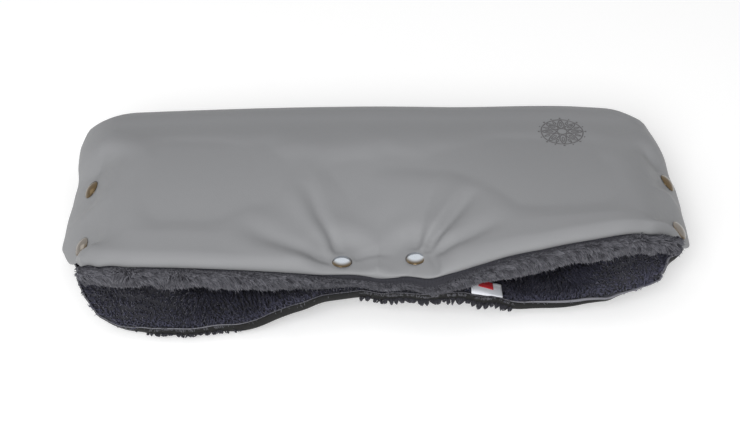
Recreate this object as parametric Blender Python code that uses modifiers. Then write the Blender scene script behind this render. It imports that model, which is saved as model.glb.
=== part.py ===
"""A padded hand muff for a pushchair handlebar, as it lies closed on a table.

A leatherette shell, a layer of wadding and a plush lining are folded round the handlebar channel.
The upper flap closes onto the lower half with six sprung snaps: two in the middle of the front
edge, which part the left and the right hand opening, and two on each side. Behind the side snaps
the corners stay open, and there the arms of the pushchair pass out.

+X runs along the handlebar, -Y points to the person who pushes, +Z is up. Metres.
"""

import math
from bisect import bisect

import bmesh
import bpy
from mathutils import Matrix, Vector

# Cloth: outline of the folded muff
HALF_WIDTH = 0.284
FLAP_DEPTH = 0.200
FOLD_RADIUS = 0.047
FOLD_HALF_WIDTH = 0.262
BACK_CORNER_RADIUS = 0.020
UPPER_FRONT_CORNER_RADIUS = 0.026
LOWER_FRONT_CORNER_RADIUS = 0.042
CORNER_REACH = 0.092

# Cloth: how far the front edges run out (-Y) or draw back, from the left end to the right
EDGE_RUN_OUT = 0.012
EDGE_RUN_DEPTH = 0.058
UPPER_EDGE_SHARES = (0.0, 0.0, 0.0, 0.0, 0.0, 0.2, 0.9, 1.7, 1.8)
LOWER_EDGE_SHARES = (0.0, -0.7, -1.0, -0.7, 0.6, 0.3, 0.1, 0.4, 1.2)

# Cloth: thickness of the layers, free, at the rim and pressed under a snap
SHELL_THICKNESS = 0.0012
WADDING_THICKNESS = 0.0042
WADDING_RIM_THICKNESS = 0.0014
WADDING_PRESSED_THICKNESS = 0.0013
LINING_THICKNESS = 0.0080
LINING_RIM_THICKNESS = 0.0056
LINING_PRESSED_THICKNESS = 0.0048
LAYER_GAP = 0.0003
RIM_ROUNDING = 0.024

# Cloth: how the padded halves swell, sag and are drawn together
CROWN_RISE = 0.006
LEFT_FRONT_DROOP = 0.017
RIGHT_FRONT_DROOP = -0.009
CENTRE_PINCH = 0.030
CENTRE_PINCH_REACH = 0.215
PINCH_HOLLOW_SHARE = 0.6
CENTRE_CLOSED_HALF_WIDTH = 0.048
CENTRE_OPEN_HALF_WIDTH = 0.135
CENTRE_CLOSED_DEPTH = 0.044
CENTRE_FADE_DEPTH = 0.104
SIDE_DROOP = 0.044
SIDE_DROOP_REACH = 0.070
SIDE_CLOSED_REACH = 0.026
SIDE_OPEN_REACH = 0.130
SIDE_FADE_DEPTH = 0.055
LEFT_LIP_RISE = 0.002
RIGHT_LIP_RISE = 0.024
LIP_RISE_DEPTH = 0.070
BACK_CORNER_DROOP_SHARE = 0.30
LEFT_CORNER_DROOP_SHARE = 0.50
RIGHT_CORNER_DROOP_SHARE = 0.28

# Plush roll along the front of the flap, and the piping along the lower lip
ROLL_DEPTH = 0.012
ROLL_OVERHANG = 0.005
ROLL_HANG = 0.014
ROLL_HANG_SHARE = 0.42
ROLL_TOP_GAP = 0.0008
PIPING_DEPTH = 0.0028

# Snaps: places
CENTRE_SNAP_SPACING = 0.068
CENTRE_SNAP_SETBACK = 0.026
SIDE_SNAP_MARGIN = 0.013
SIDE_SNAP_BACK_SETBACK = 0.072
SIDE_SNAP_FRONT_SETBACK = 0.140
SEAT_HALF_SIZE = 0.0110
SEAT_FLAT_RADIUS = 0.0165
SEAT_FADE_RADIUS = 0.042

# Snaps: cap and its post
CAP_RADIUS = 0.0090
CAP_HEIGHT = 0.0028
CAP_RIM_HEIGHT = 0.0007
POST_RADIUS = 0.0015
POST_HEAD_RADIUS = 0.0019
POST_HEAD_THICKNESS = 0.0004
POST_CLEARANCE = 0.0004

# Snaps: socket with its spring groove
SOCKET_RADIUS = 0.0070
SOCKET_BORE_RADIUS = 0.0052
SOCKET_HEIGHT = 0.0035
SOCKET_ROOF = 0.0005
SOCKET_EDGE_ROUNDING = 0.0005
GROOVE_RADIUS = 0.0061
GROOVE_HEIGHT = 0.0009
GROOVE_LIP = 0.0005
SPRING_WIRE_RADIUS = 0.0003
SPRING_GRIP_CLEARANCE = 0.00015
SPRING_GAP_ANGLE = math.radians(30)

# Snaps: stud, its hollow, and the eyelet that rivets it to the lower half
STUD_FLANGE_RADIUS = 0.0065
STUD_FLANGE_THICKNESS = 0.0009
STUD_NECK_RADIUS = 0.0026
STUD_BULB_RADIUS = 0.0031
STUD_CROWN_RADIUS = 0.0019
STUD_NECK_HEIGHT = 0.0013
STUD_BULB_HEIGHT = 0.0017
STUD_TOP_HEIGHT = 0.0022
STUD_WALL = 0.0005
EYELET_RADIUS = 0.0062
EYELET_HEIGHT = 0.0011
FIT_CLEARANCE = 0.0003

# Care label sewn to the lower lip
LABEL_WIDTH = 0.030
LABEL_HEIGHT = 0.018
LABEL_THICKNESS = 0.0009
LABEL_X = 0.100
LABEL_SETBACK = 0.004
LABEL_LIFT = 0.0005

# Mesh fineness
CAP_STEPS = 16
TURN_STEPS = 12
CUTTER_STEPS = 12
FOLD_STEPS = 8
FOLD_COLUMNS = 2
ROLL_SIDES = 8
DOME_STEPS = 4
ROUNDING_STEPS = 3
MIDDLE_COLUMN_SHARES = (0.20, 0.39, 0.50, 0.62, 0.75, 0.88)
SIDE_COLUMN_SHARES = (0.5,)
MIDDLE_ROW_SHARES = (0.5,)
BACK_ROW_SHARES = (0.34, 0.67)
SMALLEST_CELL = 0.0015
NORMAL_PROBE = 0.0005
MERGE_DISTANCE = 0.000001
CUT_OVERRUN = 0.002
SMOOTH_ANGLE = math.radians(35)

# Places worked out from the sizes above
FULL_THICKNESS = SHELL_THICKNESS + WADDING_THICKNESS + LINING_THICKNESS + 2 * LAYER_GAP
FOLD_Y = (FLAP_DEPTH + EDGE_RUN_OUT + PIPING_DEPTH + LAYER_GAP - FOLD_RADIUS) / 2
FRONT_Y = FOLD_Y - FLAP_DEPTH
TOP_Z = 2 * FOLD_RADIUS
HALF_GAP = LAYER_GAP / 2
INNER_TOP_Z = TOP_Z - FULL_THICKNESS - HALF_GAP
INNER_BOTTOM_Z = FULL_THICKNESS + HALF_GAP
CENTRE_SNAP_X = CENTRE_SNAP_SPACING / 2
CENTRE_SNAP_Y = FRONT_Y + CENTRE_SNAP_SETBACK
SIDE_SNAP_X = HALF_WIDTH - SIDE_SNAP_MARGIN
SIDE_SNAP_BACK_Y = FOLD_Y - SIDE_SNAP_BACK_SETBACK
SIDE_SNAP_FRONT_Y = FOLD_Y - SIDE_SNAP_FRONT_SETBACK
CORNER_START_X = HALF_WIDTH - CORNER_REACH
PADDING_FRONT_Y = FRONT_Y + ROLL_DEPTH - ROLL_OVERHANG + LAYER_GAP + SMALLEST_CELL

SNAP_PLACES = {
    "centre_left": (-CENTRE_SNAP_X, CENTRE_SNAP_Y),
    "centre_right": (CENTRE_SNAP_X, CENTRE_SNAP_Y),
    "left_rear": (-SIDE_SNAP_X, SIDE_SNAP_BACK_Y),
    "left_front": (-SIDE_SNAP_X, SIDE_SNAP_FRONT_Y),
    "right_rear": (SIDE_SNAP_X, SIDE_SNAP_BACK_Y),
    "right_front": (SIDE_SNAP_X, SIDE_SNAP_FRONT_Y),
}
UPPER, LOWER = 1, -1


def clear_scene():
    for obj in list(bpy.data.objects):
        bpy.data.objects.remove(obj)


def new_collection(name):
    collection = bpy.data.collections.new(name)
    bpy.context.scene.collection.children.link(collection)
    return collection


def make_material(name, colour, roughness, metallic=0.0):
    material = bpy.data.materials.new(name)
    material.use_nodes = True
    shader = material.node_tree.nodes["Principled BSDF"]
    shader.inputs["Base Color"].default_value = (*colour, 1.0)
    shader.inputs["Roughness"].default_value = roughness
    shader.inputs["Metallic"].default_value = metallic
    material.diffuse_color = (*colour, 1.0)
    return material


def make_materials():
    return {
        "leatherette": make_material("grey_leatherette", (0.30, 0.305, 0.315), 0.55),
        "piping": make_material("piping_leatherette", (0.36, 0.365, 0.38), 0.50),
        "wadding": make_material("white_wadding", (0.82, 0.82, 0.80), 0.95),
        "plush": make_material("anthracite_plush", (0.055, 0.055, 0.07), 0.95),
        "metal": make_material("nickel_plate", (0.72, 0.72, 0.73), 0.22, 1.0),
        "spring": make_material("spring_bronze", (0.62, 0.47, 0.26), 0.30, 1.0),
        "label": make_material("label_satin", (0.86, 0.87, 0.90), 0.60),
    }


def smooth_step(start, end, value):
    """0 before start, 1 after end, with a soft change between; start may be above end."""
    if start == end:
        return float(value >= end)
    t = min(max((value - start) / (end - start), 0.0), 1.0)
    return t * t * (3 - 2 * t)


def mix(a, b, share):
    return a + (b - a) * share


def eased(shares, along):
    """Value at a place from 0 to 1 along evenly spaced shares, with soft changes between."""
    place = min(max(along, 0.0), 1.0) * (len(shares) - 1)
    first = min(int(place), len(shares) - 2)
    return mix(shares[first], shares[first + 1], smooth_step(0.0, 1.0, place - first))


def seat_share(x, y):
    """1 on the flat seat round a snap, fading to 0 away from it."""
    nearest = min(math.hypot(x - sx, y - sy) for sx, sy in SNAP_PLACES.values())
    return smooth_step(SEAT_FADE_RADIUS, SEAT_FLAT_RADIUS, nearest)


def rightward(x):
    """0 at the left end, 1 at the right end: the muff was laid down a little twisted."""
    return smooth_step(-HALF_WIDTH, HALF_WIDTH, x)


def free_flap_height(x, y):
    """Inner face of the flap before its snap seats are pressed flat."""
    across = abs(x)
    forward = smooth_step(FOLD_Y, FRONT_Y, y)
    half_way = 4 * forward * (1 - forward)
    along = min(across / CENTRE_PINCH_REACH, 1.0)
    pinch_across = 1 - along * (1 + PINCH_HOLLOW_SHARE * (1 - along))
    pinch_depth = smooth_step(FOLD_Y - BACK_CORNER_RADIUS, CENTRE_SNAP_Y, y)
    from_back = smooth_step(FOLD_Y, SIDE_SNAP_BACK_Y, y)
    from_front = smooth_step(FRONT_Y, SIDE_SNAP_FRONT_Y, y)
    droop_start = mix(FOLD_HALF_WIDTH, HALF_WIDTH - SIDE_DROOP_REACH, from_back)
    side = max(across - droop_start, 0.0) / (HALF_WIDTH - droop_start)
    front_share = mix(LEFT_CORNER_DROOP_SHARE, RIGHT_CORNER_DROOP_SHARE, rightward(x))
    droop_share = min(
        mix(BACK_CORNER_DROOP_SHARE, 1.0, from_back),
        mix(front_share, 1.0, from_front),
    )
    return (
        INNER_TOP_Z
        + CROWN_RISE * half_way
        - mix(LEFT_FRONT_DROOP, RIGHT_FRONT_DROOP, rightward(x)) * forward
        - CENTRE_PINCH * pinch_across * pinch_depth
        - SIDE_DROOP * side * side * droop_share
    )


def flap_slope(x, y):
    """Slopes of the free flap along X and Y, at a snap."""
    step = NORMAL_PROBE
    along_x = (free_flap_height(x + step, y) - free_flap_height(x - step, y)) / (2 * step)
    along_y = (free_flap_height(x, y + step) - free_flap_height(x, y - step)) / (2 * step)
    return along_x, along_y


SEAT_PLANES = [(x, y, free_flap_height(x, y), flap_slope(x, y)) for x, y in SNAP_PLACES.values()]


def flap_height(x, y):
    """Inner face of the closed flap, flat on the seat round each snap."""
    height = free_flap_height(x, y)
    for sx, sy, sz, (slope_x, slope_y) in SEAT_PLANES:
        pressed = smooth_step(SEAT_FADE_RADIUS, SEAT_FLAT_RADIUS, math.hypot(x - sx, y - sy))
        plane = sz + slope_x * (x - sx) + slope_y * (y - sy)
        height = mix(height, plane, pressed)
    return height


def closed_share(x, y):
    """1 where the lower half lies against the flap, 0 where a hand or an arm passes."""
    across = abs(x)
    centre_x = smooth_step(CENTRE_OPEN_HALF_WIDTH, CENTRE_CLOSED_HALF_WIDTH, across)
    centre_y = smooth_step(FRONT_Y + CENTRE_FADE_DEPTH, FRONT_Y + CENTRE_CLOSED_DEPTH, y)
    side_x = smooth_step(HALF_WIDTH - SIDE_OPEN_REACH, HALF_WIDTH - SIDE_CLOSED_REACH, across)
    back_end = SIDE_SNAP_BACK_Y + SEAT_FLAT_RADIUS
    front_end = SIDE_SNAP_FRONT_Y - SEAT_FLAT_RADIUS
    side_back = smooth_step(back_end + SIDE_FADE_DEPTH, back_end, y)
    side_front = smooth_step(front_end - SIDE_FADE_DEPTH, front_end, y)
    centre = centre_x * centre_y
    side = side_x * min(side_back, side_front)
    return 1 - (1 - centre) * (1 - side)


def lower_height(x, y):
    """Inner face of the lower half: flat on the table, drawn up to the flap where it closes."""
    lip = mix(LEFT_LIP_RISE, RIGHT_LIP_RISE, rightward(x))
    resting = INNER_BOTTOM_Z + lip * smooth_step(FRONT_Y + LIP_RISE_DEPTH, FRONT_Y, y)
    return mix(resting, flap_height(x, y), closed_share(x, y))


def corner_pull(radius, distance):
    """How far the side edge draws in, at a distance from the end of a corner of that radius."""
    if distance >= radius:
        return 0.0
    return radius - math.sqrt(max(radius * radius - (radius - distance) ** 2, 0.0))


def plan_point(side, x, y):
    """Rounds the corners of the cloth: the sides draw in near the back and front edges."""
    front_radius = UPPER_FRONT_CORNER_RADIUS if side == UPPER else LOWER_FRONT_CORNER_RADIUS
    pull = corner_pull(BACK_CORNER_RADIUS, FOLD_Y - y) + corner_pull(front_radius, y - FRONT_Y)
    reach = max(abs(x) - CORNER_START_X, 0.0) / (HALF_WIDTH - CORNER_START_X)
    shares = UPPER_EDGE_SHARES if side == UPPER else LOWER_EDGE_SHARES
    along = (x + HALF_WIDTH) / (2 * HALF_WIDTH)
    full = smooth_step(FRONT_Y + EDGE_RUN_DEPTH, PADDING_FRONT_Y, y)
    run = EDGE_RUN_OUT * eased(shares, along) * full
    return math.copysign(abs(x) - pull * reach, x), y + run


def surface_frame(side, x, y):
    """Point of the inner face above a place of the plan, and its normal towards the shell."""
    height = flap_height if side == UPPER else lower_height
    step = NORMAL_PROBE
    along_x = (height(x + step, y) - height(x - step, y)) / (2 * step)
    along_y = (height(x, y + step) - height(x, y - step)) / (2 * step)
    normal = Vector((-along_x, -along_y, 1.0)).normalized()
    return Vector((x, y, height(x, y))), normal * side


def rim_share(x, y):
    """0 on the edge of the cloth, 1 away from it; the fold isn't an edge."""
    distance = min(HALF_WIDTH - abs(x), y - FRONT_Y)
    if abs(x) > FOLD_HALF_WIDTH:
        distance = min(distance, FOLD_Y - y)
    return smooth_step(0.0, RIM_ROUNDING, distance)


def layer_levels(x, y):
    """Depth of each layer's two faces below or above the parting face, from lining to shell."""
    rim, pressed = rim_share(x, y), seat_share(x, y)
    lining = mix(
        mix(LINING_RIM_THICKNESS, LINING_THICKNESS, rim), LINING_PRESSED_THICKNESS, pressed
    )
    wadding = mix(
        mix(WADDING_RIM_THICKNESS, WADDING_THICKNESS, rim), WADDING_PRESSED_THICKNESS, pressed
    )
    lining_face = HALF_GAP
    wadding_face = lining_face + lining + LAYER_GAP
    shell_face = wadding_face + wadding + LAYER_GAP
    return {
        "lining": (lining_face, lining_face + lining),
        "wadding": (wadding_face, wadding_face + wadding),
        "shell": (shell_face, shell_face + SHELL_THICKNESS),
    }


def level_point(side, x, y, depth):
    point, outward = surface_frame(side, *plan_point(side, x, y))
    return point + outward * depth


def thinned(values):
    """The values in order, without those that lie closer together than the smallest cell."""
    kept = []
    for value in sorted(values):
        if not kept or value - kept[-1] > SMALLEST_CELL:
            kept.append(value)
    return kept


def column_places():
    """X of the grid columns: close round the snap seats, wide over the hand openings."""
    side_half = SEAT_HALF_SIZE * math.cos(math.atan(flap_slope(SIDE_SNAP_X, SIDE_SNAP_BACK_Y)[0]))
    inner, outer = CENTRE_SNAP_X + SEAT_HALF_SIZE, SIDE_SNAP_X - side_half
    right = [CENTRE_SNAP_X - SEAT_HALF_SIZE, inner]
    right += [mix(inner, FOLD_HALF_WIDTH, share) for share in MIDDLE_COLUMN_SHARES]
    right += [FOLD_HALF_WIDTH]
    right += [mix(FOLD_HALF_WIDTH, outer, share) for share in SIDE_COLUMN_SHARES]
    right += [outer, min(SIDE_SNAP_X + side_half, HALF_WIDTH - 2 * SMALLEST_CELL), HALF_WIDTH]
    return thinned([-x for x in right] + [0.0] + right)


def row_places(front):
    """Y of the grid rows, from the front edge of a layer back to the fold."""
    seats = (SIDE_SNAP_BACK_Y, SIDE_SNAP_FRONT_Y, CENTRE_SNAP_Y)
    rows = [y + half for y in seats for half in (SEAT_HALF_SIZE, -SEAT_HALF_SIZE)]
    between = (SIDE_SNAP_BACK_Y - SEAT_HALF_SIZE, SIDE_SNAP_FRONT_Y + SEAT_HALF_SIZE)
    rows += [mix(*between, share) for share in MIDDLE_ROW_SHARES]
    rows += [PADDING_FRONT_Y]
    behind = SIDE_SNAP_BACK_Y + SEAT_HALF_SIZE
    rows += [mix(FOLD_Y, behind, share) for share in BACK_ROW_SHARES]
    inside = [y for y in rows if front + SMALLEST_CELL < y < FOLD_Y - SMALLEST_CELL]
    return thinned([front, *inside, FOLD_Y - HALF_GAP])


def finish_object(name, bm, material, collection):
    mesh = bpy.data.meshes.new(name)
    bmesh.ops.recalc_face_normals(bm, faces=bm.faces)
    if bm.calc_volume(signed=True) < 0:
        bmesh.ops.reverse_faces(bm, faces=bm.faces)
    bm.to_mesh(mesh)
    bm.free()
    mesh.shade_smooth()
    mesh.set_sharp_from_angle(angle=SMOOTH_ANGLE)
    mesh.materials.append(material)
    obj = bpy.data.objects.new(name, mesh)
    collection.objects.link(obj)
    return obj


def slab(columns, rows, place):
    """A closed slab: a grid and its raised copy, each corner put where place(i, j, top) says."""
    bm = bmesh.new()
    width, height = len(columns) - 1, len(rows) - 1
    bmesh.ops.create_grid(bm, x_segments=width, y_segments=height, size=1.0)
    made = bmesh.ops.extrude_face_region(bm, geom=bm.faces[:])
    raised = {v for v in made["geom"] if isinstance(v, bmesh.types.BMVert)}
    for vert in bm.verts:
        i = round((vert.co.x + 1) / 2 * width)
        j = round((vert.co.y + 1) / 2 * height)
        vert.co = place(i, j, vert in raised)
    return bm


def make_panel_layer(name, side, layer, front, material, collection):
    columns, rows = column_places(), row_places(front)

    def place(i, j, raised):
        x, y = columns[i], rows[j]
        return level_point(side, x, y, layer_levels(x, y)[layer][int(raised)])

    return finish_object(name, slab(columns, rows, place), material, collection)


def make_fold_layer(name, layer, material, collection):
    """One layer of the back of the muff, rolled round the handlebar channel."""
    total = HALF_GAP + FULL_THICKNESS
    inner_depth, outer_depth = layer_levels(0.0, FOLD_Y)[layer]
    reach = FOLD_HALF_WIDTH
    columns = [mix(-reach, reach, i / FOLD_COLUMNS) for i in range(FOLD_COLUMNS + 1)]
    start = math.asin(HALF_GAP / FOLD_RADIUS)
    turns = [mix(start, math.pi - start, j / FOLD_STEPS) for j in range(FOLD_STEPS + 1)]

    def place(i, j, raised):
        radius = FOLD_RADIUS - total + (outer_depth if raised else inner_depth)
        angle = turns[j]
        return Vector(
            (columns[i], FOLD_Y + radius * math.sin(angle), FOLD_RADIUS + radius * math.cos(angle))
        )

    return finish_object(name, slab(columns, turns, place), material, collection)


def lofted_bar(stations, sides, section):
    """A closed bar: one ring of points at each station, capped at both ends."""
    bm = bmesh.new()
    length = len(stations) - 1
    bmesh.ops.create_grid(bm, x_segments=length, y_segments=sides, size=1.0)
    for vert in bm.verts:
        i = round((vert.co.x + 1) / 2 * length)
        angle = (vert.co.y + 1) * math.pi
        vert.co = section(stations[i], angle)
    bmesh.ops.remove_doubles(bm, verts=bm.verts, dist=MERGE_DISTANCE)
    bmesh.ops.holes_fill(bm, edges=[e for e in bm.edges if e.is_boundary], sides=sides)
    return bm


def make_front_roll(material, collection):
    """The plush turned out along the flap's front edge: deep over the openings, thin at the snaps."""
    setback = ROLL_DEPTH / 2 - ROLL_OVERHANG
    probe_y = FRONT_Y + SMALLEST_CELL
    half_depth = ROLL_DEPTH / 2 - LAYER_GAP

    def section(x, angle):
        levels = layer_levels(x, probe_y)
        top = level_point(UPPER, x, probe_y, levels["wadding"][1] - ROLL_TOP_GAP)
        base = level_point(UPPER, x, probe_y, HALF_GAP)
        opening = flap_height(x, probe_y) - lower_height(x, probe_y)
        base.z -= min(ROLL_HANG, ROLL_HANG_SHARE * opening)
        centre, half = (top + base) / 2, (top - base) / 2
        centre.y = plan_point(UPPER, x, FRONT_Y)[1] + setback
        half.y = 0.0
        return centre + Vector((0.0, half_depth * math.cos(angle), 0.0)) + half * math.sin(angle)

    stations = [x for x in column_places() if abs(x) < HALF_WIDTH - SMALLEST_CELL]
    return finish_object(
        "upper_front_plush_roll", lofted_bar(stations, ROLL_SIDES, section), material, collection
    )


def make_lower_piping(material, collection):
    """The shell's turned edge along the front of the lower half."""
    half_depth = PIPING_DEPTH / 2

    def section(x, angle):
        levels = layer_levels(x, FRONT_Y)
        outer = level_point(LOWER, x, FRONT_Y, levels["shell"][1])
        inner = level_point(LOWER, x, FRONT_Y, levels["lining"][0])
        centre, half = (inner + outer) / 2, (inner - outer) / 2
        centre.y = plan_point(LOWER, x, FRONT_Y)[1] - half_depth - LAYER_GAP
        half.y = 0.0
        return centre + Vector((0.0, half_depth * math.cos(angle), 0.0)) + half * math.sin(angle)

    stations = [x for x in column_places() if abs(x) < HALF_WIDTH - SMALLEST_CELL]
    return finish_object(
        "lower_front_piping", lofted_bar(stations, ROLL_SIDES, section), material, collection
    )


def lower_lining_top(x, y, lift):
    """A point above the flat facets of the lower lining, between the lines of its grid."""
    columns, rows = column_places(), row_places(FRONT_Y)
    i = min(bisect(columns, x), len(columns) - 1)
    j = min(bisect(rows, y), len(rows) - 1)
    u = (x - columns[i - 1]) / (columns[i] - columns[i - 1])
    v = (y - rows[j - 1]) / (rows[j] - rows[j - 1])
    depth = HALF_GAP - lift
    front = level_point(LOWER, columns[i - 1], rows[j - 1], depth).lerp(
        level_point(LOWER, columns[i], rows[j - 1], depth), u
    )
    back = level_point(LOWER, columns[i - 1], rows[j], depth).lerp(
        level_point(LOWER, columns[i], rows[j], depth), u
    )
    return front.lerp(back, v)


def make_care_label(material, collection):
    """A folded satin tag, bare, sewn to the lower lining by the lip, beside the middle snaps."""
    left, right = LABEL_X - LABEL_WIDTH / 2, LABEL_X + LABEL_WIDTH / 2
    front = FRONT_Y + LABEL_SETBACK
    back = front + LABEL_HEIGHT
    columns = thinned([left, right] + [x for x in column_places() if left < x < right])
    rows = thinned([front, back] + [y for y in row_places(FRONT_Y) if front < y < back])

    def place(i, j, raised):
        lift = LABEL_LIFT + (LABEL_THICKNESS if raised else 0.0)
        return lower_lining_top(columns[i], rows[j], lift)

    return finish_object("care_label", slab(columns, rows, place), material, collection)


def turned_mesh(name, profile, closed, steps=TURN_STEPS):
    """The guide line of a turned piece; the Screw modifier of each copy turns it round Z."""
    mesh = bpy.data.meshes.new(name)
    edges = [(i, i + 1) for i in range(len(profile) - 1)]
    if closed:
        edges.append((len(profile) - 1, 0))
    mesh.from_pydata([(r, 0.0, z) for r, z in profile], edges, [])
    return mesh, steps


def place_turned(name, turned, matrix, material, collection):
    mesh, steps = turned
    if material is not None and not mesh.materials:
        mesh.materials.append(material)
    obj = bpy.data.objects.new(name, mesh)
    collection.objects.link(obj)
    obj.matrix_world = matrix
    screw = obj.modifiers.new("turn", "SCREW")
    screw.steps = screw.render_steps = steps
    screw.use_merge_vertices = True
    screw.merge_threshold = MERGE_DISTANCE
    screw.use_smooth_shade = True
    return obj


def arc(centre, radius, start, end, steps):
    """Points on an arc in the (r, z) plane, angles from the +r axis."""
    angles = [mix(start, end, i / steps) for i in range(steps + 1)]
    return [
        (centre[0] + radius * math.cos(a), centre[1] + radius * math.sin(a)) for a in angles
    ]


def snap_levels():
    """Heights of the pressed layers above the parting face, as the snap pieces use them."""
    x, y = SNAP_PLACES["centre_left"]
    return layer_levels(x, y)


def cap_profile():
    """Domed cap on the shell, with a rolled rim and a riveted post down to the socket."""
    seat = snap_levels()["shell"][1] + FIT_CLEARANCE
    rise = CAP_HEIGHT - CAP_RIM_HEIGHT
    dome_radius = (CAP_RADIUS**2 + rise**2) / (2 * rise)
    spread = math.asin(CAP_RADIUS / dome_radius)
    centre_z = seat + CAP_HEIGHT - dome_radius
    up = math.pi / 2
    dome = arc((0.0, centre_z), dome_radius, up, up - spread, DOME_STEPS)
    roof_under = HALF_GAP + SOCKET_HEIGHT - SOCKET_ROOF
    head_top = roof_under - FIT_CLEARANCE / 2
    head_bottom = head_top - POST_HEAD_THICKNESS
    rim_in = CAP_RADIUS - CAP_RIM_HEIGHT
    return (
        [(0.0, dome[0][1])]
        + dome[1:]
        + [(rim_in, seat), (POST_RADIUS, seat), (POST_RADIUS, head_top)]
        + [(POST_HEAD_RADIUS, head_top), (POST_HEAD_RADIUS, head_bottom), (0.0, head_bottom)]
    )


def socket_profile():
    """Socket with a bore for the stud and an inner groove that holds the spring."""
    bottom = HALF_GAP
    top = bottom + SOCKET_HEIGHT
    groove_bottom = bottom + GROOVE_LIP
    groove_top = groove_bottom + GROOVE_HEIGHT
    edge = SOCKET_EDGE_ROUNDING
    hole = POST_RADIUS + FIT_CLEARANCE / 2
    roof = top - SOCKET_ROOF
    return [
        (hole, top),
        (SOCKET_RADIUS - edge, top),
        (SOCKET_RADIUS, top - edge),
        (SOCKET_RADIUS, bottom + edge),
        (SOCKET_RADIUS - edge, bottom),
        (SOCKET_BORE_RADIUS, bottom),
        (SOCKET_BORE_RADIUS, groove_bottom),
        (GROOVE_RADIUS, groove_bottom),
        (GROOVE_RADIUS, groove_top),
        (SOCKET_BORE_RADIUS, groove_top),
        (SOCKET_BORE_RADIUS, roof),
        (hole, roof),
    ]


def stud_profile():
    """Hollow stud: a flange on the lower lining, a neck that the spring grips, and a bulb."""
    flange_top = -HALF_GAP
    flange_bottom = flange_top - STUD_FLANGE_THICKNESS
    hole = POST_RADIUS + FIT_CLEARANCE / 2
    hollow = STUD_NECK_RADIUS - STUD_WALL
    roof = STUD_TOP_HEIGHT - STUD_WALL
    return [
        (0.0, STUD_TOP_HEIGHT),
        (STUD_CROWN_RADIUS, STUD_TOP_HEIGHT),
        (STUD_BULB_RADIUS, STUD_BULB_HEIGHT),
        (STUD_NECK_RADIUS, STUD_NECK_HEIGHT),
        (STUD_NECK_RADIUS, flange_top),
        (STUD_FLANGE_RADIUS, flange_top),
        (STUD_FLANGE_RADIUS, flange_bottom),
        (hole, flange_bottom),
        (hole, flange_top),
        (hollow, flange_top),
        (hollow, roof),
        (0.0, roof),
    ]


def eyelet_profile():
    """Flange under the lower shell, with a post whose head is riveted inside the stud."""
    seat = -(snap_levels()["shell"][1] + FIT_CLEARANCE)
    bottom = seat - EYELET_HEIGHT
    edge = EYELET_HEIGHT / 2
    head_bottom = FIT_CLEARANCE / 2
    head_top = head_bottom + POST_HEAD_THICKNESS
    return [
        (0.0, head_top),
        (POST_HEAD_RADIUS, head_top),
        (POST_HEAD_RADIUS, head_bottom),
        (POST_RADIUS, head_bottom),
        (POST_RADIUS, seat),
        (EYELET_RADIUS - edge, seat),
        (EYELET_RADIUS, seat - edge),
        (EYELET_RADIUS - edge, bottom),
        (0.0, bottom),
    ]


def spring_points():
    """Bent wire: two straight arms that grip the neck, joined and ended in the socket's groove."""
    arm = STUD_NECK_RADIUS + SPRING_GRIP_CLEARANCE + SPRING_WIRE_RADIUS
    ring = GROOVE_RADIUS - FIT_CLEARANCE / 2 - SPRING_WIRE_RADIUS
    corner = math.asin(arm / ring)
    half_gap = SPRING_GAP_ANGLE / 2
    height = HALF_GAP + GROOVE_LIP + GROOVE_HEIGHT / 2
    first = arc((0.0, 0.0), ring, math.pi - half_gap, math.pi - corner, ROUNDING_STEPS)
    far = arc((0.0, 0.0), ring, corner, -corner, 2 * ROUNDING_STEPS)
    last = arc((0.0, 0.0), ring, math.pi + corner, math.pi + half_gap, ROUNDING_STEPS)
    return [(x, y, height) for x, y in first + far + last]


def make_spring(name, matrix, material, collection):
    curve = bpy.data.curves.new(name, "CURVE")
    curve.dimensions = "3D"
    curve.bevel_depth = SPRING_WIRE_RADIUS
    curve.bevel_resolution = 1
    curve.use_fill_caps = True
    points = spring_points()
    spline = curve.splines.new("POLY")
    spline.points.add(len(points) - 1)
    for point, co in zip(spline.points, points):
        point.co = (*co, 1.0)
    curve.materials.append(material)
    obj = bpy.data.objects.new(name, curve)
    collection.objects.link(obj)
    obj.matrix_world = matrix
    return obj


def cutter_profile(side):
    """What a snap takes out of the cloth: a pocket for socket or stud, then a hole for the post."""
    if side == UPPER:
        pocket = HALF_GAP + SOCKET_HEIGHT + FIT_CLEARANCE
        pocket_radius = SOCKET_RADIUS + FIT_CLEARANCE
    else:
        pocket = HALF_GAP + STUD_FLANGE_THICKNESS + FIT_CLEARANCE
        pocket_radius = STUD_FLANGE_RADIUS + FIT_CLEARANCE
    hole = POST_RADIUS + POST_CLEARANCE
    far = snap_levels()["shell"][1] + CUT_OVERRUN
    near = -CUT_OVERRUN
    up = [(0.0, far), (hole, far), (hole, pocket), (pocket_radius, pocket), (pocket_radius, near)]
    up.append((0.0, near))
    return up if side == UPPER else [(r, -z) for r, z in reversed(up)]


def snap_matrix(x, y):
    """Frame of a snap: its origin on the parting face, +Z out through the cap."""
    origin, up = surface_frame(UPPER, x, y)
    across = Vector((0.0, 1.0, 0.0)).cross(up).normalized()
    along = up.cross(across)
    turn = Matrix((across, along, up)).transposed().to_4x4()
    return Matrix.Translation(origin) @ turn


def make_cutters(side, name, collection):
    turned = turned_mesh(name, cutter_profile(side), closed=False, steps=CUTTER_STEPS)
    for place, (x, y) in SNAP_PLACES.items():
        cutter = place_turned(f"{name}_{place}", turned, snap_matrix(x, y), None, collection)
        cutter.display_type = "WIRE"
        cutter.hide_render = True


def pierce(obj, cutters):
    cut = obj.modifiers.new("snap_holes", "BOOLEAN")
    cut.operation = "DIFFERENCE"
    cut.operand_type = "COLLECTION"
    cut.collection = cutters
    cut.solver = "EXACT"


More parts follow.
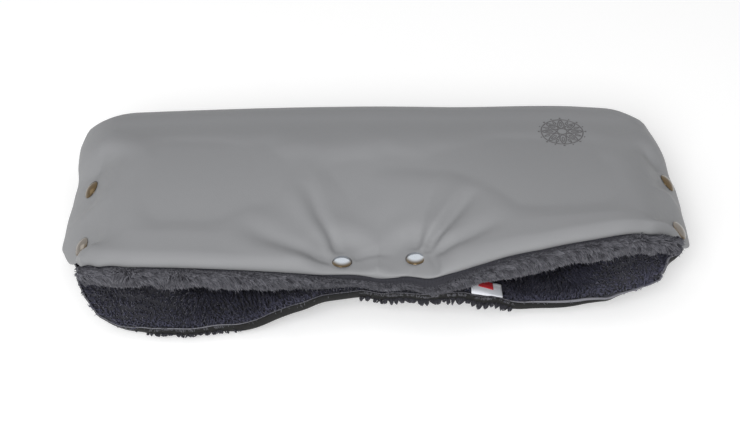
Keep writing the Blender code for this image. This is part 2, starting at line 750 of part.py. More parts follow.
def make_snaps(materials, collection):
    cap = turned_mesh("snap_cap", cap_profile(), closed=False, steps=CAP_STEPS)
    socket = turned_mesh("snap_socket", socket_profile(), closed=True)
    stud = turned_mesh("snap_stud", stud_profile(), closed=False)
    eyelet = turned_mesh("snap_eyelet", eyelet_profile(), closed=False)
    for place, (x, y) in SNAP_PLACES.items():
        matrix = snap_matrix(x, y)
        place_turned(f"cap_{place}", cap, matrix, materials["metal"], collection)
        place_turned(f"socket_{place}", socket, matrix, materials["metal"], collection)
        place_turned(f"stud_{place}", stud, matrix, materials["metal"], collection)
        place_turned(f"eyelet_{place}", eyelet, matrix, materials["metal"], collection)
        make_spring(f"spring_{place}", matrix, materials["spring"], collection)


def make_cloth(materials, collection):
    upper_cutters = new_collection("upper_snap_cutters")
    lower_cutters = new_collection("lower_snap_cutters")
    make_cutters(UPPER, "upper_cutter", upper_cutters)
    make_cutters(LOWER, "lower_cutter", lower_cutters)
    layers = (
        ("shell", "leatherette", FRONT_Y),
        ("wadding", "wadding", PADDING_FRONT_Y),
        ("lining", "plush", PADDING_FRONT_Y),
    )
    for layer, finish, front in layers:
        upper = make_panel_layer(
            f"upper_{layer}", UPPER, layer, front, materials[finish], collection
        )
        pierce(upper, upper_cutters)
        lower = make_panel_layer(
            f"lower_{layer}", LOWER, layer, FRONT_Y, materials[finish], collection
        )
        pierce(lower, lower_cutters)
        make_fold_layer(f"back_fold_{layer}", layer, materials[finish], collection)


def main():
    clear_scene()
    materials = make_materials()
    muff = new_collection("hand_muff")
    make_cloth(materials, muff)
    make_front_roll(materials["plush"], muff)
    make_lower_piping(materials["piping"], muff)
    make_care_label(materials["label"], muff)
    make_snaps(materials, muff)


main()
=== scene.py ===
"""Looks of a padded stroller hand muff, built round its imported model.

A grey leatherette cover and an anthracite plush lining are folded round the channel of the
handlebar. The flap closes on the lower half with six sprung snaps, and its front edge ends in a
border of plush. +X runs along the handlebar, -Y points to the person who pushes, +Z is up.
"""

import logging
import math
from dataclasses import dataclass, field
from enum import Enum
from typing import Callable, Protocol

import bmesh
import bpy
import numpy as np
from mathutils import Matrix, Vector
from mathutils.bvhtree import BVHTree


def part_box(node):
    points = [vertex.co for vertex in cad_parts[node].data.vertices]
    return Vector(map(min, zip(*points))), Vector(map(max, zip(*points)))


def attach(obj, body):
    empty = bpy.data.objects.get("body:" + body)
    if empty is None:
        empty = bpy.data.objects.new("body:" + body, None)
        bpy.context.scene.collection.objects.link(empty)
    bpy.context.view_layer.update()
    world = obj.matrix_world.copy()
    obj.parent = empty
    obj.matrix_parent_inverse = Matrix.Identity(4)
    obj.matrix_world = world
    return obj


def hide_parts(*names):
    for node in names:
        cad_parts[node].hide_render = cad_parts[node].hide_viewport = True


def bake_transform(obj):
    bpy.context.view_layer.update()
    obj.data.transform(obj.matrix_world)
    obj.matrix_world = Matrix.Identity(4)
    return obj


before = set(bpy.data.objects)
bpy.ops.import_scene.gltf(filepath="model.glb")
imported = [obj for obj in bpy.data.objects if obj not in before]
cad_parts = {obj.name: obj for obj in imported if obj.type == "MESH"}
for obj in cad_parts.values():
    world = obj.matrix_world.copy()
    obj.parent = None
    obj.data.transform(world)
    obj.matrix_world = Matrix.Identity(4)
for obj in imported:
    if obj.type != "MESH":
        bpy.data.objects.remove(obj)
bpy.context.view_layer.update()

STEP = 0.0005  # metres to both sides, where a slope is measured

log = logging.getLogger("hand_muff")
Array = np.ndarray
Pair = tuple[float, float]
Triple = tuple[float, float, float]
Table = tuple[tuple[float, ...], ...]
Colour = Triple
Piece = bpy.types.Object
Material = bpy.types.Material
Mesh = bmesh.types.BMesh
Socket = bpy.types.NodeSocket


class Half(Enum):
    """The two halves of the folded muff."""

    UPPER = 1
    LOWER = -1


class Body(str, Enum):
    """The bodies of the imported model."""

    LOWER = "lower_half"
    FLAP = "upper_flap"


def ease(start: Array | float, end: Array | float, value: Array) -> Array:
    """Soft change from 0 to 1.

    Args:
        start: Value with the share 0.
        end: Value with the share 1; it may lie below start.
        value: Where the share is wanted.

    Returns:
        Shares from 0 to 1.
    """
    t = np.clip((value - start) / (end - start), 0.0, 1.0)
    return t * t * (3 - 2 * t)


def mix(a: Array | float, b: Array | float, share: Array | float) -> Array | float:
    """Value between a and b at a share from 0 to 1."""
    return a + (b - a) * share


def waves(x: Array, y: Array, length: float, seed: int) -> Array:
    """Smooth uneven waves over the plan.

    Args:
        x: Places across.
        y: Places along.
        length: Typical wave length in metres.
        seed: Picks one pattern.

    Returns:
        Heights of about -1 to 1.
    """
    rng = np.random.default_rng(seed)
    total = np.zeros_like(np.asarray(x, float))
    for _ in range(5):
        turn, phase = rng.uniform(0, math.tau, 2)
        pace = math.tau / (length * rng.uniform(0.6, 1.6))
        total += np.sin(pace * (x * math.cos(turn) + y * math.sin(turn)) + phase)
    return total / 3.0


def looked_up(table: Table, place: Array) -> Array:
    """Value of a table of two columns at each place, in straight lines between its rows."""
    return np.interp(place, *np.array(table).T)


def unit(vectors: Array) -> Array:
    """The vectors, each one metre long."""
    return vectors / np.maximum(np.linalg.norm(vectors, axis=-1, keepdims=True), 1e-12)


@dataclass(frozen=True)
class MuffShape:
    """Resting shape of the folded cloth, in metres. Heights are of the parting face."""

    half_width: float = 0.284
    flap_depth: float = 0.2
    fold_radius: float = 0.047
    fold_y: float = 0.08405
    bend_length: float = 0.03
    fold_half_width: float = 0.262
    upper_front_corner: float = 0.026
    lower_front_corner: float = 0.042
    back_corners: Pair = (0.022, 0.032)
    corner_wrap: float = 0.03
    cover_setback: float = 0.0088
    corner_reach: float = 0.092
    edge_run_out: float = 0.012
    edge_run_depth: float = 0.058
    upper_edge_shares: tuple[float, ...] = (0.0, 0.0, 0.0, 0.0, 0.0, 0.2, 0.9, 1.7, 1.8)
    lower_edge_shares: tuple[float, ...] = (0.0, -0.7, -1.0, -0.7, 0.6, 0.3, 0.1, 0.4, 1.2)
    shell: float = 0.0012
    wadding: Triple = (0.0014, 0.0042, 0.0013)
    lining: Triple = (0.0056, 0.008, 0.0048)
    layer_gap: float = 0.0003
    rim_rounding: float = 0.024
    crown_rise: float = 0.006
    left_front_droop: float = 0.017
    right_front_droop: float = -0.009
    centre_pinch: float = 0.03
    centre_pinch_reach: float = 0.215
    pinch_hollow_share: float = 0.6
    pinch_rounding: float = 0.005
    centre_closed: Pair = (0.048, 0.044)
    centre_open: Pair = (0.135, 0.104)
    side_droop: float = 0.044
    side_droop_reach: float = 0.07
    side_closed_reach: float = 0.026
    side_open_reach: float = 0.13
    side_fade_depth: float = 0.055
    left_lip_rise: float = 0.002
    right_lip_rise: float = 0.024
    lip_rise_depth: float = 0.07
    back_droop_share: float = 0.3
    front_droop_shares: Pair = (0.5, 0.28)
    padding_setback: float = 0.0088
    seat_flat: float = 0.0165
    seat_fade: float = 0.042
    centre_snap: Pair = (0.034, 0.026)
    side_snap_margin: float = 0.013
    side_snap_setbacks: Pair = (0.072, 0.14)
    end_bow: float = 0.0065
    end_bow_power: float = 1.7
    end_sag_share: float = 0.065
    bow_start_y: float = 0.03
    left_spread: Pair = (0.0065, 0.005)
    left_spread_start_x: float = 0.276
    left_spread_shares: Table = ((-0.072, 0.0), (-0.062, 0.3), (-0.038, 1.4), (-0.022, 1.4), (0.012, 1.0))
    right_tuck: float = 0.02
    right_tuck_ys: Pair = (0.018, 0.1)
    right_tuck_start_x: float = 0.16
    fold_sink: Pair = (0.002, 0.0045)
    fold_sink_xs: Pair = (0.2, 0.06)
    trim_starts: Pair = (-0.088, -0.058)
    trim_start_xs: Pair = (0.1, 0.2)
    trim_corner_y: float = -0.09
    trim_corner_xs: Pair = (0.215, 0.27)
    flap_trim: Table = (
        (-0.284, 0.008, 0.014, 0.012), (-0.27, 0.003, 0.012, 0.007),
        (-0.25, 0.0, 0.006, 0.0035), (-0.22, 0.0, 0.0029, 0.0),
        (-0.06, 0.0, 0.0042, 0.0), (-0.02, 0.0, 0.0091, 0.001),
        (0.02, 0.0, 0.0029, 0.0), (0.05, 0.0, -0.0108, -0.0015),
        (0.09, 0.0, -0.0052, -0.001), (0.125, 0.0, -0.0057, 0.0),
        (0.16, 0.0, -0.0023, 0.001), (0.2, 0.0, -0.009, 0.003),
        (0.24, -0.002, -0.0024, 0.005), (0.262, -0.004, 0.0045, 0.0045),
        (0.284, -0.01, 0.0105, 0.0105),
    )
    lower_trim: Table = (
        (-0.284, 0.0, 0.01, 0.0), (-0.27, 0.003, -0.002, 0.0),
        (-0.255, 0.002, -0.009, 0.0), (-0.235, 0.0, -0.0153, 0.0),
        (-0.21, 0.0, -0.0079, 0.0), (-0.175, 0.0, -0.007, 0.0),
        (-0.142, 0.0, -0.0015, 0.0), (-0.1, 0.0, -0.0054, 0.0),
        (-0.071, 0.0, -0.0071, 0.0), (-0.045, 0.0, -0.0026, 0.0),
        (-0.018, 0.0, -0.0035, 0.0), (0.005, 0.0, -0.0105, 0.0),
        (0.05, 0.0, -0.0185, 0.0), (0.085, 0.0, -0.0127, 0.0),
        (0.11, 0.0, -0.0029, 0.0), (0.142, 0.0, 0.0002, 0.0),
        (0.185, 0.0, -0.0016, 0.0), (0.213, 0.0, -0.003, -0.004),
        (0.235, 0.0, -0.0065, -0.0095), (0.255, 0.0, -0.0015, -0.011),
        (0.268, -0.008, 0.002, -0.01), (0.284, -0.016, 0.01, 0.0),
    )

    @property
    def front_y(self) -> float:
        """Y of the front edge before it runs out."""
        return self.fold_y - self.flap_depth

    @property
    def thickness(self) -> float:
        """All layers of one half, away from its edges."""
        return self.shell + self.wadding[1] + self.lining[1] + 2 * self.layer_gap

    @property
    def inner_top_z(self) -> float:
        """Parting face of the flap at the fold."""
        return 2 * self.fold_radius - self.thickness - self.layer_gap / 2

    @property
    def cover_end(self) -> float:
        """Where the leatherette of the flap ends, as a share of its depth."""
        return 1 - self.cover_setback / self.flap_depth

    @property
    def snap_places(self) -> dict[str, Pair]:
        """X and Y of each snap, by its name."""
        side = self.half_width - self.side_snap_margin
        back, front = (self.fold_y - setback for setback in self.side_snap_setbacks)
        x, setback = self.centre_snap
        return {
            "centre_left": (-x, self.front_y + setback),
            "centre_right": (x, self.front_y + setback),
            "left_rear": (-side, back),
            "left_front": (-side, front),
            "right_rear": (side, back),
            "right_front": (side, front),
        }

    def rightward(self, x: Array) -> Array:
        """0 at the left end and 1 at the right one."""
        return ease(-self.half_width, self.half_width, x)

    def free_flap_height(self, x: Array, y: Array) -> Array:
        """Parting face of the flap before its snap seats are pressed flat.

        Args:
            x: Places across.
            y: Places along.

        Returns:
            Heights.
        """
        across = np.abs(x)
        snaps = self.snap_places
        forward = ease(self.fold_y, self.front_y, y)
        rounded = across + self.pinch_rounding * np.exp(-across / self.pinch_rounding)
        along = np.minimum(rounded / self.centre_pinch_reach, 1.0)
        pinch_across = 1 - along * (1 + self.pinch_hollow_share * (1 - along))
        pinch_depth = ease(self.fold_y - 0.02, snaps["centre_left"][1], y)
        from_back = ease(self.fold_y, snaps["left_rear"][1], y)
        from_front = ease(self.front_y, snaps["left_front"][1], y)
        start = mix(self.fold_half_width, self.half_width - self.side_droop_reach, from_back)
        side = np.maximum(across - start, 0.0) / (self.half_width - start)
        front_share = mix(*self.front_droop_shares, self.rightward(x))
        share = np.minimum(mix(self.back_droop_share, 1.0, from_back), mix(front_share, 1.0, from_front))
        droop = mix(self.left_front_droop, self.right_front_droop, self.rightward(x))
        return (
            self.inner_top_z
            + self.crown_rise * 4 * forward * (1 - forward)
            - droop * forward
            - self.centre_pinch * pinch_across * pinch_depth
            - self.side_droop * side * side * share
        )

    def flap_height(self, x: Array, y: Array) -> Array:
        """Parting face of the closed flap, flat on the seat round each snap.

        Args:
            x: Places across.
            y: Places along.

        Returns:
            Heights.
        """
        height = self.free_flap_height(x, y)
        for sx, sy in self.snap_places.values():
            rise_x, rise_y = self.slope(self.free_flap_height, sx, sy)
            plane = self.free_flap_height(sx, sy) + rise_x * (x - sx) + rise_y * (y - sy)
            pressed = ease(self.seat_fade, self.seat_flat, np.hypot(x - sx, y - sy))
            height = mix(height, plane, pressed)
        return height

    def closed_share(self, x: Array, y: Array) -> Array:
        """1 where the halves lie on each other, 0 where a hand or an arm passes.

        Args:
            x: Places across.
            y: Places along.

        Returns:
            Shares from 0 to 1.
        """
        across, snaps = np.abs(x), self.snap_places
        centre = ease(self.centre_open[0], self.centre_closed[0], across) * ease(
            self.front_y + self.centre_open[1], self.front_y + self.centre_closed[1], y
        )
        back = snaps["left_rear"][1] + self.seat_flat
        front = snaps["left_front"][1] - self.seat_flat
        side = ease(
            self.half_width - self.side_open_reach, self.half_width - self.side_closed_reach, across
        ) * np.minimum(
            ease(back + self.side_fade_depth, back, y),
            ease(front - self.side_fade_depth, front, y),
        )
        return 1 - (1 - centre) * (1 - side)

    def lower_height(self, x: Array, y: Array) -> Array:
        """Parting face of the lower half.

        Args:
            x: Places across.
            y: Places along.

        Returns:
            Heights.
        """
        lip = mix(self.left_lip_rise, self.right_lip_rise, self.rightward(x))
        resting = self.thickness + self.layer_gap / 2
        resting = resting + lip * ease(self.front_y + self.lip_rise_depth, self.front_y, y)
        return mix(resting, self.flap_height(x, y), self.closed_share(x, y))

    def slope(self, height: Callable[[Array, Array], Array], x: Array, y: Array) -> tuple[Array, Array]:
        """How steeply a height rises along X and Y.

        Args:
            height: Gives heights for places across and along.
            x: Places across.
            y: Places along.

        Returns:
            Metres of rise for each metre along X, and along Y.
        """
        rise_x = height(x + STEP, y) - height(x - STEP, y)
        rise_y = height(x, y + STEP) - height(x, y - STEP)
        return rise_x / (2 * STEP), rise_y / (2 * STEP)

    def edge_run(self, half: Half, x: Array, y: Array) -> Array:
        """How far the front edge draws back from its straight line, in +Y.

        Args:
            half: The half of the muff.
            x: Places across.
            y: Places along.

        Returns:
            Moves in +Y.
        """
        shares = self.upper_edge_shares if half is Half.UPPER else self.lower_edge_shares
        place = np.clip((x / self.half_width + 1) / 2, 0, 1) * (len(shares) - 1)
        first = np.minimum(place.astype(int), len(shares) - 2)
        table = np.array(shares)
        share = mix(table[first], table[first + 1], ease(0.0, 1.0, place - first))
        start, full = self.front_y + self.edge_run_depth, self.front_y + self.padding_setback
        return self.edge_run_out * share * ease(start, full, y)

    def plan(self, half: Half, x: Array, y: Array) -> tuple[Array, Array]:
        """Place of the cloth in plan: its corners drawn in, and its front edge run out.

        Args:
            half: The half of the muff.
            x: Places across.
            y: Places along.

        Returns:
            The new places across and along.
        """
        back = np.where(x < 0, *self.back_corners)
        front = self.upper_front_corner if half is Half.UPPER else self.lower_front_corner
        at_front = np.clip(1 - (y - self.front_y) / front, 0, 1)
        end = self.fold_y + (self.corner_wrap if half is Half.UPPER else 0.0)
        at_back = np.clip(1 - (end - y) / back, 0, 1)
        pull = front * (1 - np.sqrt(1 - at_front**2)) + back * (1 - np.sqrt(1 - at_back**2))
        reach = np.clip(1 - (self.half_width - np.abs(x)) / self.corner_reach, 0, 1)
        return np.sign(x) * (np.abs(x) - pull * reach), y + self.edge_run(half, x, y)

    def levels(self, x: Array, y: Array, edge: Array) -> dict[str, Array]:
        """Depths of the layers from the parting face.

        Args:
            x: Places across.
            y: Places along.
            edge: Distance from the edge of the cloth.

        Returns:
            The top of the lining, and the bottom and top of the cover with its wadding.
        """
        pressed = ease(self.seat_fade, self.seat_flat, self.snap_distance(x, y))
        rim = ease(0.0, self.rim_rounding, edge)
        lining = mix(mix(self.lining[0], self.lining[1], rim), self.lining[2], pressed)
        wadding = mix(mix(self.wadding[0], self.wadding[1], rim), self.wadding[2], pressed)
        lining_top = self.layer_gap / 2 + lining
        bottom = lining_top + self.layer_gap
        top = bottom + wadding + self.layer_gap + self.shell
        return {"lining": lining_top, "bottom": bottom, "top": top, "pressed": pressed}

    def raised(self, half: Half, x: Array, y: Array, depth: Array) -> Array:
        """Points at a depth from the parting face of one half.

        Args:
            half: The half of the muff.
            x: Places across, in plan.
            y: Places along, in plan.
            depth: Distance from the parting face, towards the outside of the muff.

        Returns:
            Points, one row each.
        """
        height = self.flap_height if half is Half.UPPER else self.lower_height
        slope_x, slope_y = self.slope(height, x, y)
        normal = unit(np.stack([-slope_x, -slope_y, np.ones_like(slope_x)], axis=-1)) * half.value
        point = np.stack([x, y, height(x, y)], axis=-1)
        return point + normal * np.asarray(depth)[..., None]

    def laid(self, half: Half, points: Array) -> Array:
        """The points as the muff lies: its fold bowed, its right mouth a little more open.

        Args:
            half: The half of the muff.
            points: Points of the half, one row each.

        Returns:
            The points, moved.
        """
        x, y, z = points.T
        end = np.minimum(np.abs(x) / self.half_width, 1.0) ** self.end_bow_power
        share = end * ease(self.bow_start_y, self.fold_y, y)
        y, z = y - self.end_bow * share, z * (1 - self.end_sag_share * share)
        sunk = ease(*self.fold_sink_xs, x) * ease(self.bow_start_y, self.fold_y, y)
        high = ease(0.0, 2 * self.fold_radius, z)
        y, z = y - self.fold_sink[0] * sunk, z - self.fold_sink[1] * sunk * high
        tucked = ease(*self.right_tuck_ys, y) * ease(self.right_tuck_start_x, self.half_width, x)
        x = x - self.right_tuck * tucked
        spread = np.maximum(-x - self.left_spread_start_x, 0.0)
        spread = spread / (self.half_width - self.left_spread_start_x)
        spread = spread * looked_up(self.left_spread_shares, y)
        x, z = x - self.left_spread[0] * spread, np.maximum(z - self.left_spread[1] * spread, 0.0)
        return np.stack([x, y, z], axis=-1) + self.trimmed(half, x, y)

    def trimmed(self, half: Half, x: Array, y: Array) -> Array:
        """How far the front of one half is moved, as its mouths hang in use.

        Args:
            half: The half of the muff.
            x: Places across.
            y: Places along.

        Returns:
            Moves along X, Y and Z.
        """
        places, *moves = np.array(self.flap_trim if half is Half.UPPER else self.lower_trim).T
        first = np.clip(np.searchsorted(places, x) - 1, 0, len(places) - 2)
        share = ease(0.0, 1.0, (x - places[first]) / (places[first + 1] - places[first]))
        move = np.stack([mix(row[first], row[first + 1], share) for row in moves], axis=-1)
        start = mix(*self.trim_starts, ease(*self.trim_start_xs, np.abs(x)))
        corner = ease(*self.trim_corner_xs, np.abs(x))
        return move * ease(start, mix(self.front_y, self.trim_corner_y, corner), y)[..., None]

    def edge_distance(self, across: Array, along: Array) -> Array:
        """Distance from the side or front edge of a half, whichever is nearer."""
        side = (1 - np.abs(across)) * self.half_width
        return np.where(along < 0, side, np.minimum(side, (1 - along) * self.flap_depth))

    def developed(self, across: Array, along: Array) -> tuple[Array, Array]:
        """X and Y on the cloth laid flat: across from -1 to 1, along from 0 at the fold to 1."""
        return across * self.half_width, self.fold_y - along * self.flap_depth

    def levels_at(self, across: Array, along: Array) -> dict[str, Array]:
        """Depths of the layers, for places as shares."""
        x, y = self.developed(across, np.clip(along, 0, 1))
        return self.levels(x, y, self.edge_distance(across, along))

    def snap_distance(self, x: Array, y: Array) -> Array:
        """Distance from the nearest snap, in plan."""
        return np.min([np.hypot(x - sx, y - sy) for sx, sy in self.snap_places.values()], axis=0)

    def lower_points(self, across: Array, along: Array, depth: Array) -> Array:
        """Points of the lower half at a depth, for places as shares."""
        x, y = self.plan(Half.LOWER, *self.developed(across, along))
        return self.laid(Half.LOWER, self.raised(Half.LOWER, x, y, depth))

    def flap_points(self, across: Array, along: Array, depth: Array) -> Array:
        """Points of the fold and the flap: along from -1 under the fold, over 0 to 1.

        Args:
            across: Places across, from -1 to 1.
            along: Places along, from -1 under the fold to 1.
            depth: Distance from the parting face.

        Returns:
            Points, one row each.
        """
        around = math.pi * self.fold_radius
        developed = self.fold_y - np.where(along < 0, along * around, along * self.flap_depth)
        x, y = self.plan(Half.UPPER, across * self.half_width, developed)
        flat = self.raised(Half.UPPER, x, np.minimum(y, self.fold_y), depth)
        angle = np.clip(-along, 0, 1) * math.pi
        radius = self.fold_radius - self.thickness - self.layer_gap / 2 + depth
        rolled = np.stack(
            [x, self.fold_y + radius * np.sin(angle), self.fold_radius + radius * np.cos(angle)],
            axis=-1,
        )
        return self.laid(Half.UPPER, np.where((along < 0)[..., None], rolled, flat))


@dataclass(frozen=True)
class Crease:
    """One soft fold in the leatherette, from a snap outwards."""

    path: Table
    depth: float
    width: float
    ridge_share: float = 0.6
    start_share: float = 1.0

    def drop(self, x: Array, y: Array) -> Array:
        """How far the surface drops along the crease, and rises beside it.

        Args:
            x: Places across.
            y: Places along.

        Returns:
            Drops in metres; a rise is negative.
        """
        points = np.array(self.path)
        lengths = np.linalg.norm(np.diff(points, axis=0), axis=1)
        total, walked = lengths.sum(), 0.0
        best = np.full(x.shape, np.inf)
        share, side = np.zeros(x.shape), np.ones(x.shape)
        for a, b, length in zip(points[:-1], points[1:], lengths):
            ex, ey = (b - a) / length
            t = np.clip((x - a[0]) * ex + (y - a[1]) * ey, 0, length)
            dx, dy = x - a[0] - t * ex, y - a[1] - t * ey
            away = np.hypot(dx, dy)
            near = away < best
            share = np.where(near, (walked + t) / total, share)
            side = np.where(near, np.sign(ex * dy - ey * dx), side)
            best = np.where(near, away, best)
            walked += length
        width = self.width * (0.55 + 0.9 * share)
        fade = mix(self.start_share, 1.0, ease(0.0, 0.2, share))
        fade = fade * ease(1.02, 0.45, share)
        valley = np.exp(-((best / width) ** 2))
        ridge = np.exp(-(((best * side - 1.9 * width) / (1.2 * width)) ** 2))
        return self.depth * fade * (valley - self.ridge_share * ridge)


def add_mesh(bm: Mesh, more: Mesh) -> None:
    """Adds one mesh to another.

    Args:
        bm: The mesh that grows.
        more: The mesh that is added, and used up.
    """
    held = bpy.data.meshes.new("held")
    more.to_mesh(held)
    more.free()
    bm.from_mesh(held)
    bpy.data.meshes.remove(held)


@dataclass(frozen=True)
class Tuft:
    """One small lock of pile, which the whole pile repeats."""

    sides: int = 3
    middle_height: float = 0.55
    middle_radius: float = 0.8

    def template(self) -> tuple[Mesh, Array]:
        """One lock, one high and with a radius of one.

        Returns:
            Its mesh, and its points.
        """
        bm = bmesh.new()
        bmesh.ops.create_cone(
            bm, cap_ends=True, cap_tris=False, segments=self.sides, radius1=1.0,
            radius2=0.0, depth=1.0, matrix=Matrix.Translation((0, 0, 0.5)),
        )
        bmesh.ops.remove_doubles(bm, verts=bm.verts, dist=1e-5)
        flanks = [e for e in bm.edges if abs(e.verts[0].co.z - e.verts[1].co.z) > 0.5]
        bmesh.ops.subdivide_edges(bm, edges=flanks, cuts=1, use_grid_fill=False)
        for vert in bm.verts:
            if 0.2 < vert.co.z < 0.8:
                flat = Vector((vert.co.x, vert.co.y, 0)).normalized() * self.middle_radius
                vert.co = Vector((flat.x, flat.y, self.middle_height))
        bmesh.ops.recalc_face_normals(bm, faces=bm.faces)
        lock = bmesh.new()
        add_mesh(lock, bm)
        return lock, np.array([v.co for v in lock.verts])


def repeated(bm: Mesh, count: int) -> None:
    """Repeats all that a mesh holds, in order, until it is there count times.

    Args:
        bm: The mesh.
        count: How many there are in the end.
    """
    verts, edges, faces = len(bm.verts), len(bm.edges), len(bm.faces)
    have = 1
    while have < count:
        more = min(have, count - have)
        geom = bm.verts[: more * verts] + bm.edges[: more * edges] + bm.faces[: more * faces]
        bmesh.ops.duplicate(bm, geom=geom)
        for part in (bm.verts, bm.edges, bm.faces):
            part.index_update()
            part.ensure_lookup_table()
        have += more


def new_object(name: str, bm: Mesh, material: Material) -> Piece:
    """Makes a shown object of a mesh.

    Args:
        name: Name of the piece.
        bm: Its mesh, which is used up.
        material: Its finish.

    Returns:
        The object, smooth-shaded.
    """
    mesh = bpy.data.meshes.new(name)
    bm.to_mesh(mesh)
    bm.free()
    mesh.shade_smooth()
    mesh.materials.append(material)
    obj = bpy.data.objects.new(name, mesh)
    bpy.context.scene.collection.objects.link(obj)
    return obj


def store_share(obj: Piece, name: str, values: Array) -> None:
    """Keeps one number per point on a mesh, for its material to read."""
    attribute = obj.data.attributes.new(name, "FLOAT", "POINT")
    attribute.data.foreach_set("value", np.asarray(values, np.float32))


def soften(obj: Piece, rim: str = "ALL") -> None:
    """Adds one subdivision; rim says how far the edges are rounded."""
    smooth = obj.modifiers.new("soft_surface", "SUBSURF")
    smooth.levels, smooth.render_levels, smooth.boundary_smooth = 1, 1, rim


def jittered(rng: np.random.Generator, columns: int, rows: int) -> tuple[Array, Array]:
    """Places of a grid in steps of its spacing, each a little further by chance."""
    u, v = np.meshgrid(np.arange(columns), np.arange(rows))
    return u.ravel() + rng.uniform(0, 1, u.size), v.ravel() + rng.uniform(0, 1, v.size)


def grow_pile(
    name: str, roots: Array, tips: Array, bend: Array, radius: Array, tone: Array,
    material: Material,
) -> Piece:
    """Grows a pile, one lock for each root.

    Args:
        name: Name of the piece.
        roots: Where the locks stand.
        tips: Where they end.
        bend: How far the middle of each lock lies off the straight line.
        radius: Radius of each lock at its root.
        tone: Brightness of each lock, from 0 to 1.
        material: Finish of the pile.

    Returns:
        The pile, with the brightness of each point kept as pile_tone.
    """
    bm, template = Tuft().template()
    repeated(bm, len(roots))
    obj = new_object(name, bm, material)
    up = tips - roots
    across = unit(np.cross(up, [0.31, 0.84, 0.44]))
    along = unit(np.cross(up, across))
    u, v, h = template.T
    points = (
        roots[:, None]
        + up[:, None] * h[None, :, None]
        + bend[:, None] * (4 * h * (1 - h))[None, :, None]
        + radius[:, None, None]
        * (across[:, None] * u[None, :, None] + along[:, None] * v[None, :, None])
    )
    obj.data.vertices.foreach_set("co", points.reshape(-1).astype(np.float32))
    obj.data.update()
    store_share(obj, "pile_tone", (tone[:, None] * (0.3 + 0.7 * h[None])).reshape(-1))
    return obj


def clumped(tips: Array, u: Array, v: Array, sizes: Pair, share: float) -> Array:
    """Draws the tips of neighbouring locks together, as pile mats in use.

    Args:
        tips: Where the locks end.
        u: Places of the locks across, in steps of their spacing.
        v: Places along, in the same steps.
        sizes: Locks in a clump, across and along.
        share: How far each tip moves to the middle of its clump.

    Returns:
        The new tips.
    """
    row = np.floor(v / sizes[1])
    cell = np.floor(u / sizes[0] + 0.5 * (row % 2)) + 100000 * row
    _, index = np.unique(cell, return_inverse=True)
    counts = np.bincount(index)
    middle = np.stack([np.bincount(index, column) / counts for column in tips.T], axis=-1)[index]
    return tips + (middle - tips) * share


def spaced_ends(start: float, end: float, cell: float, reach: float, steps: int) -> list[float]:
    """Even places from start to end, closer together where a rounded edge ends them.

    Args:
        start: First place.
        end: Last place, on the rounded edge.
        cell: Distance between places.
        reach: Width of the rounded edge.
        steps: Places on the rounded edge.

    Returns:
        The places in order.
    """
    sign = math.copysign(1.0, end - start)
    knee = end - sign * reach
    count = max(1, round(abs(knee - start) / cell))
    even = [start + (knee - start) * i / count for i in range(count)]
    curl = [knee + sign * reach * math.sin(math.pi / 2 * i / steps) for i in range(steps + 1)]
    return even + curl


def cloth_slab(
    columns: list[float], rows: list[float], place: Callable[[Array, Array, Array], Array]
) -> Mesh:
    """A closed piece of cloth with thickness.

    Args:
        columns: Places across.
        rows: Places along.
        place: Gives points for places across, along, and whether they are on the outside.

    Returns:
        The mesh.
    """
    bm = bmesh.new()
    width, height = len(columns) - 1, len(rows) - 1
    bmesh.ops.create_grid(bm, x_segments=width, y_segments=height, size=1.0)
    inside = set(bm.verts)
    bmesh.ops.extrude_face_region(bm, geom=bm.faces[:])
    co = np.array([v.co for v in bm.verts])
    outer = np.array([v not in inside for v in bm.verts])
    i = np.rint((co[:, 0] + 1) / 2 * width).astype(int)
    j = np.rint((co[:, 1] + 1) / 2 * height).astype(int)
    points = place(np.array(columns)[i], np.array(rows)[j], outer)
    for vert, point in zip(bm.verts, points.tolist()):
        vert.co = point
    bmesh.ops.recalc_face_normals(bm, faces=bm.faces)
    return bm


def lofted_ring(stations: int, sides: int, section: Callable[[Array, Array], Array]) -> Mesh:
    """A closed bar of rings.

    Args:
        stations: Number of rings less one.
        sides: Sides of each ring.
        section: Gives points for places from -1 to 1 and angles.

    Returns:
        The mesh, with both ends filled.
    """
    bm = bmesh.new()
    bmesh.ops.create_grid(bm, x_segments=stations, y_segments=sides, size=1.0)
    co = np.array([v.co for v in bm.verts])
    for vert, point in zip(bm.verts, section(co[:, 0], (co[:, 1] + 1) * math.pi).tolist()):
        vert.co = point
    bmesh.ops.remove_doubles(bm, verts=bm.verts, dist=1e-6)
    bmesh.ops.holes_fill(bm, edges=[e for e in bm.edges if e.is_boundary], sides=sides)
    bmesh.ops.recalc_face_normals(bm, faces=bm.faces)
    return bm


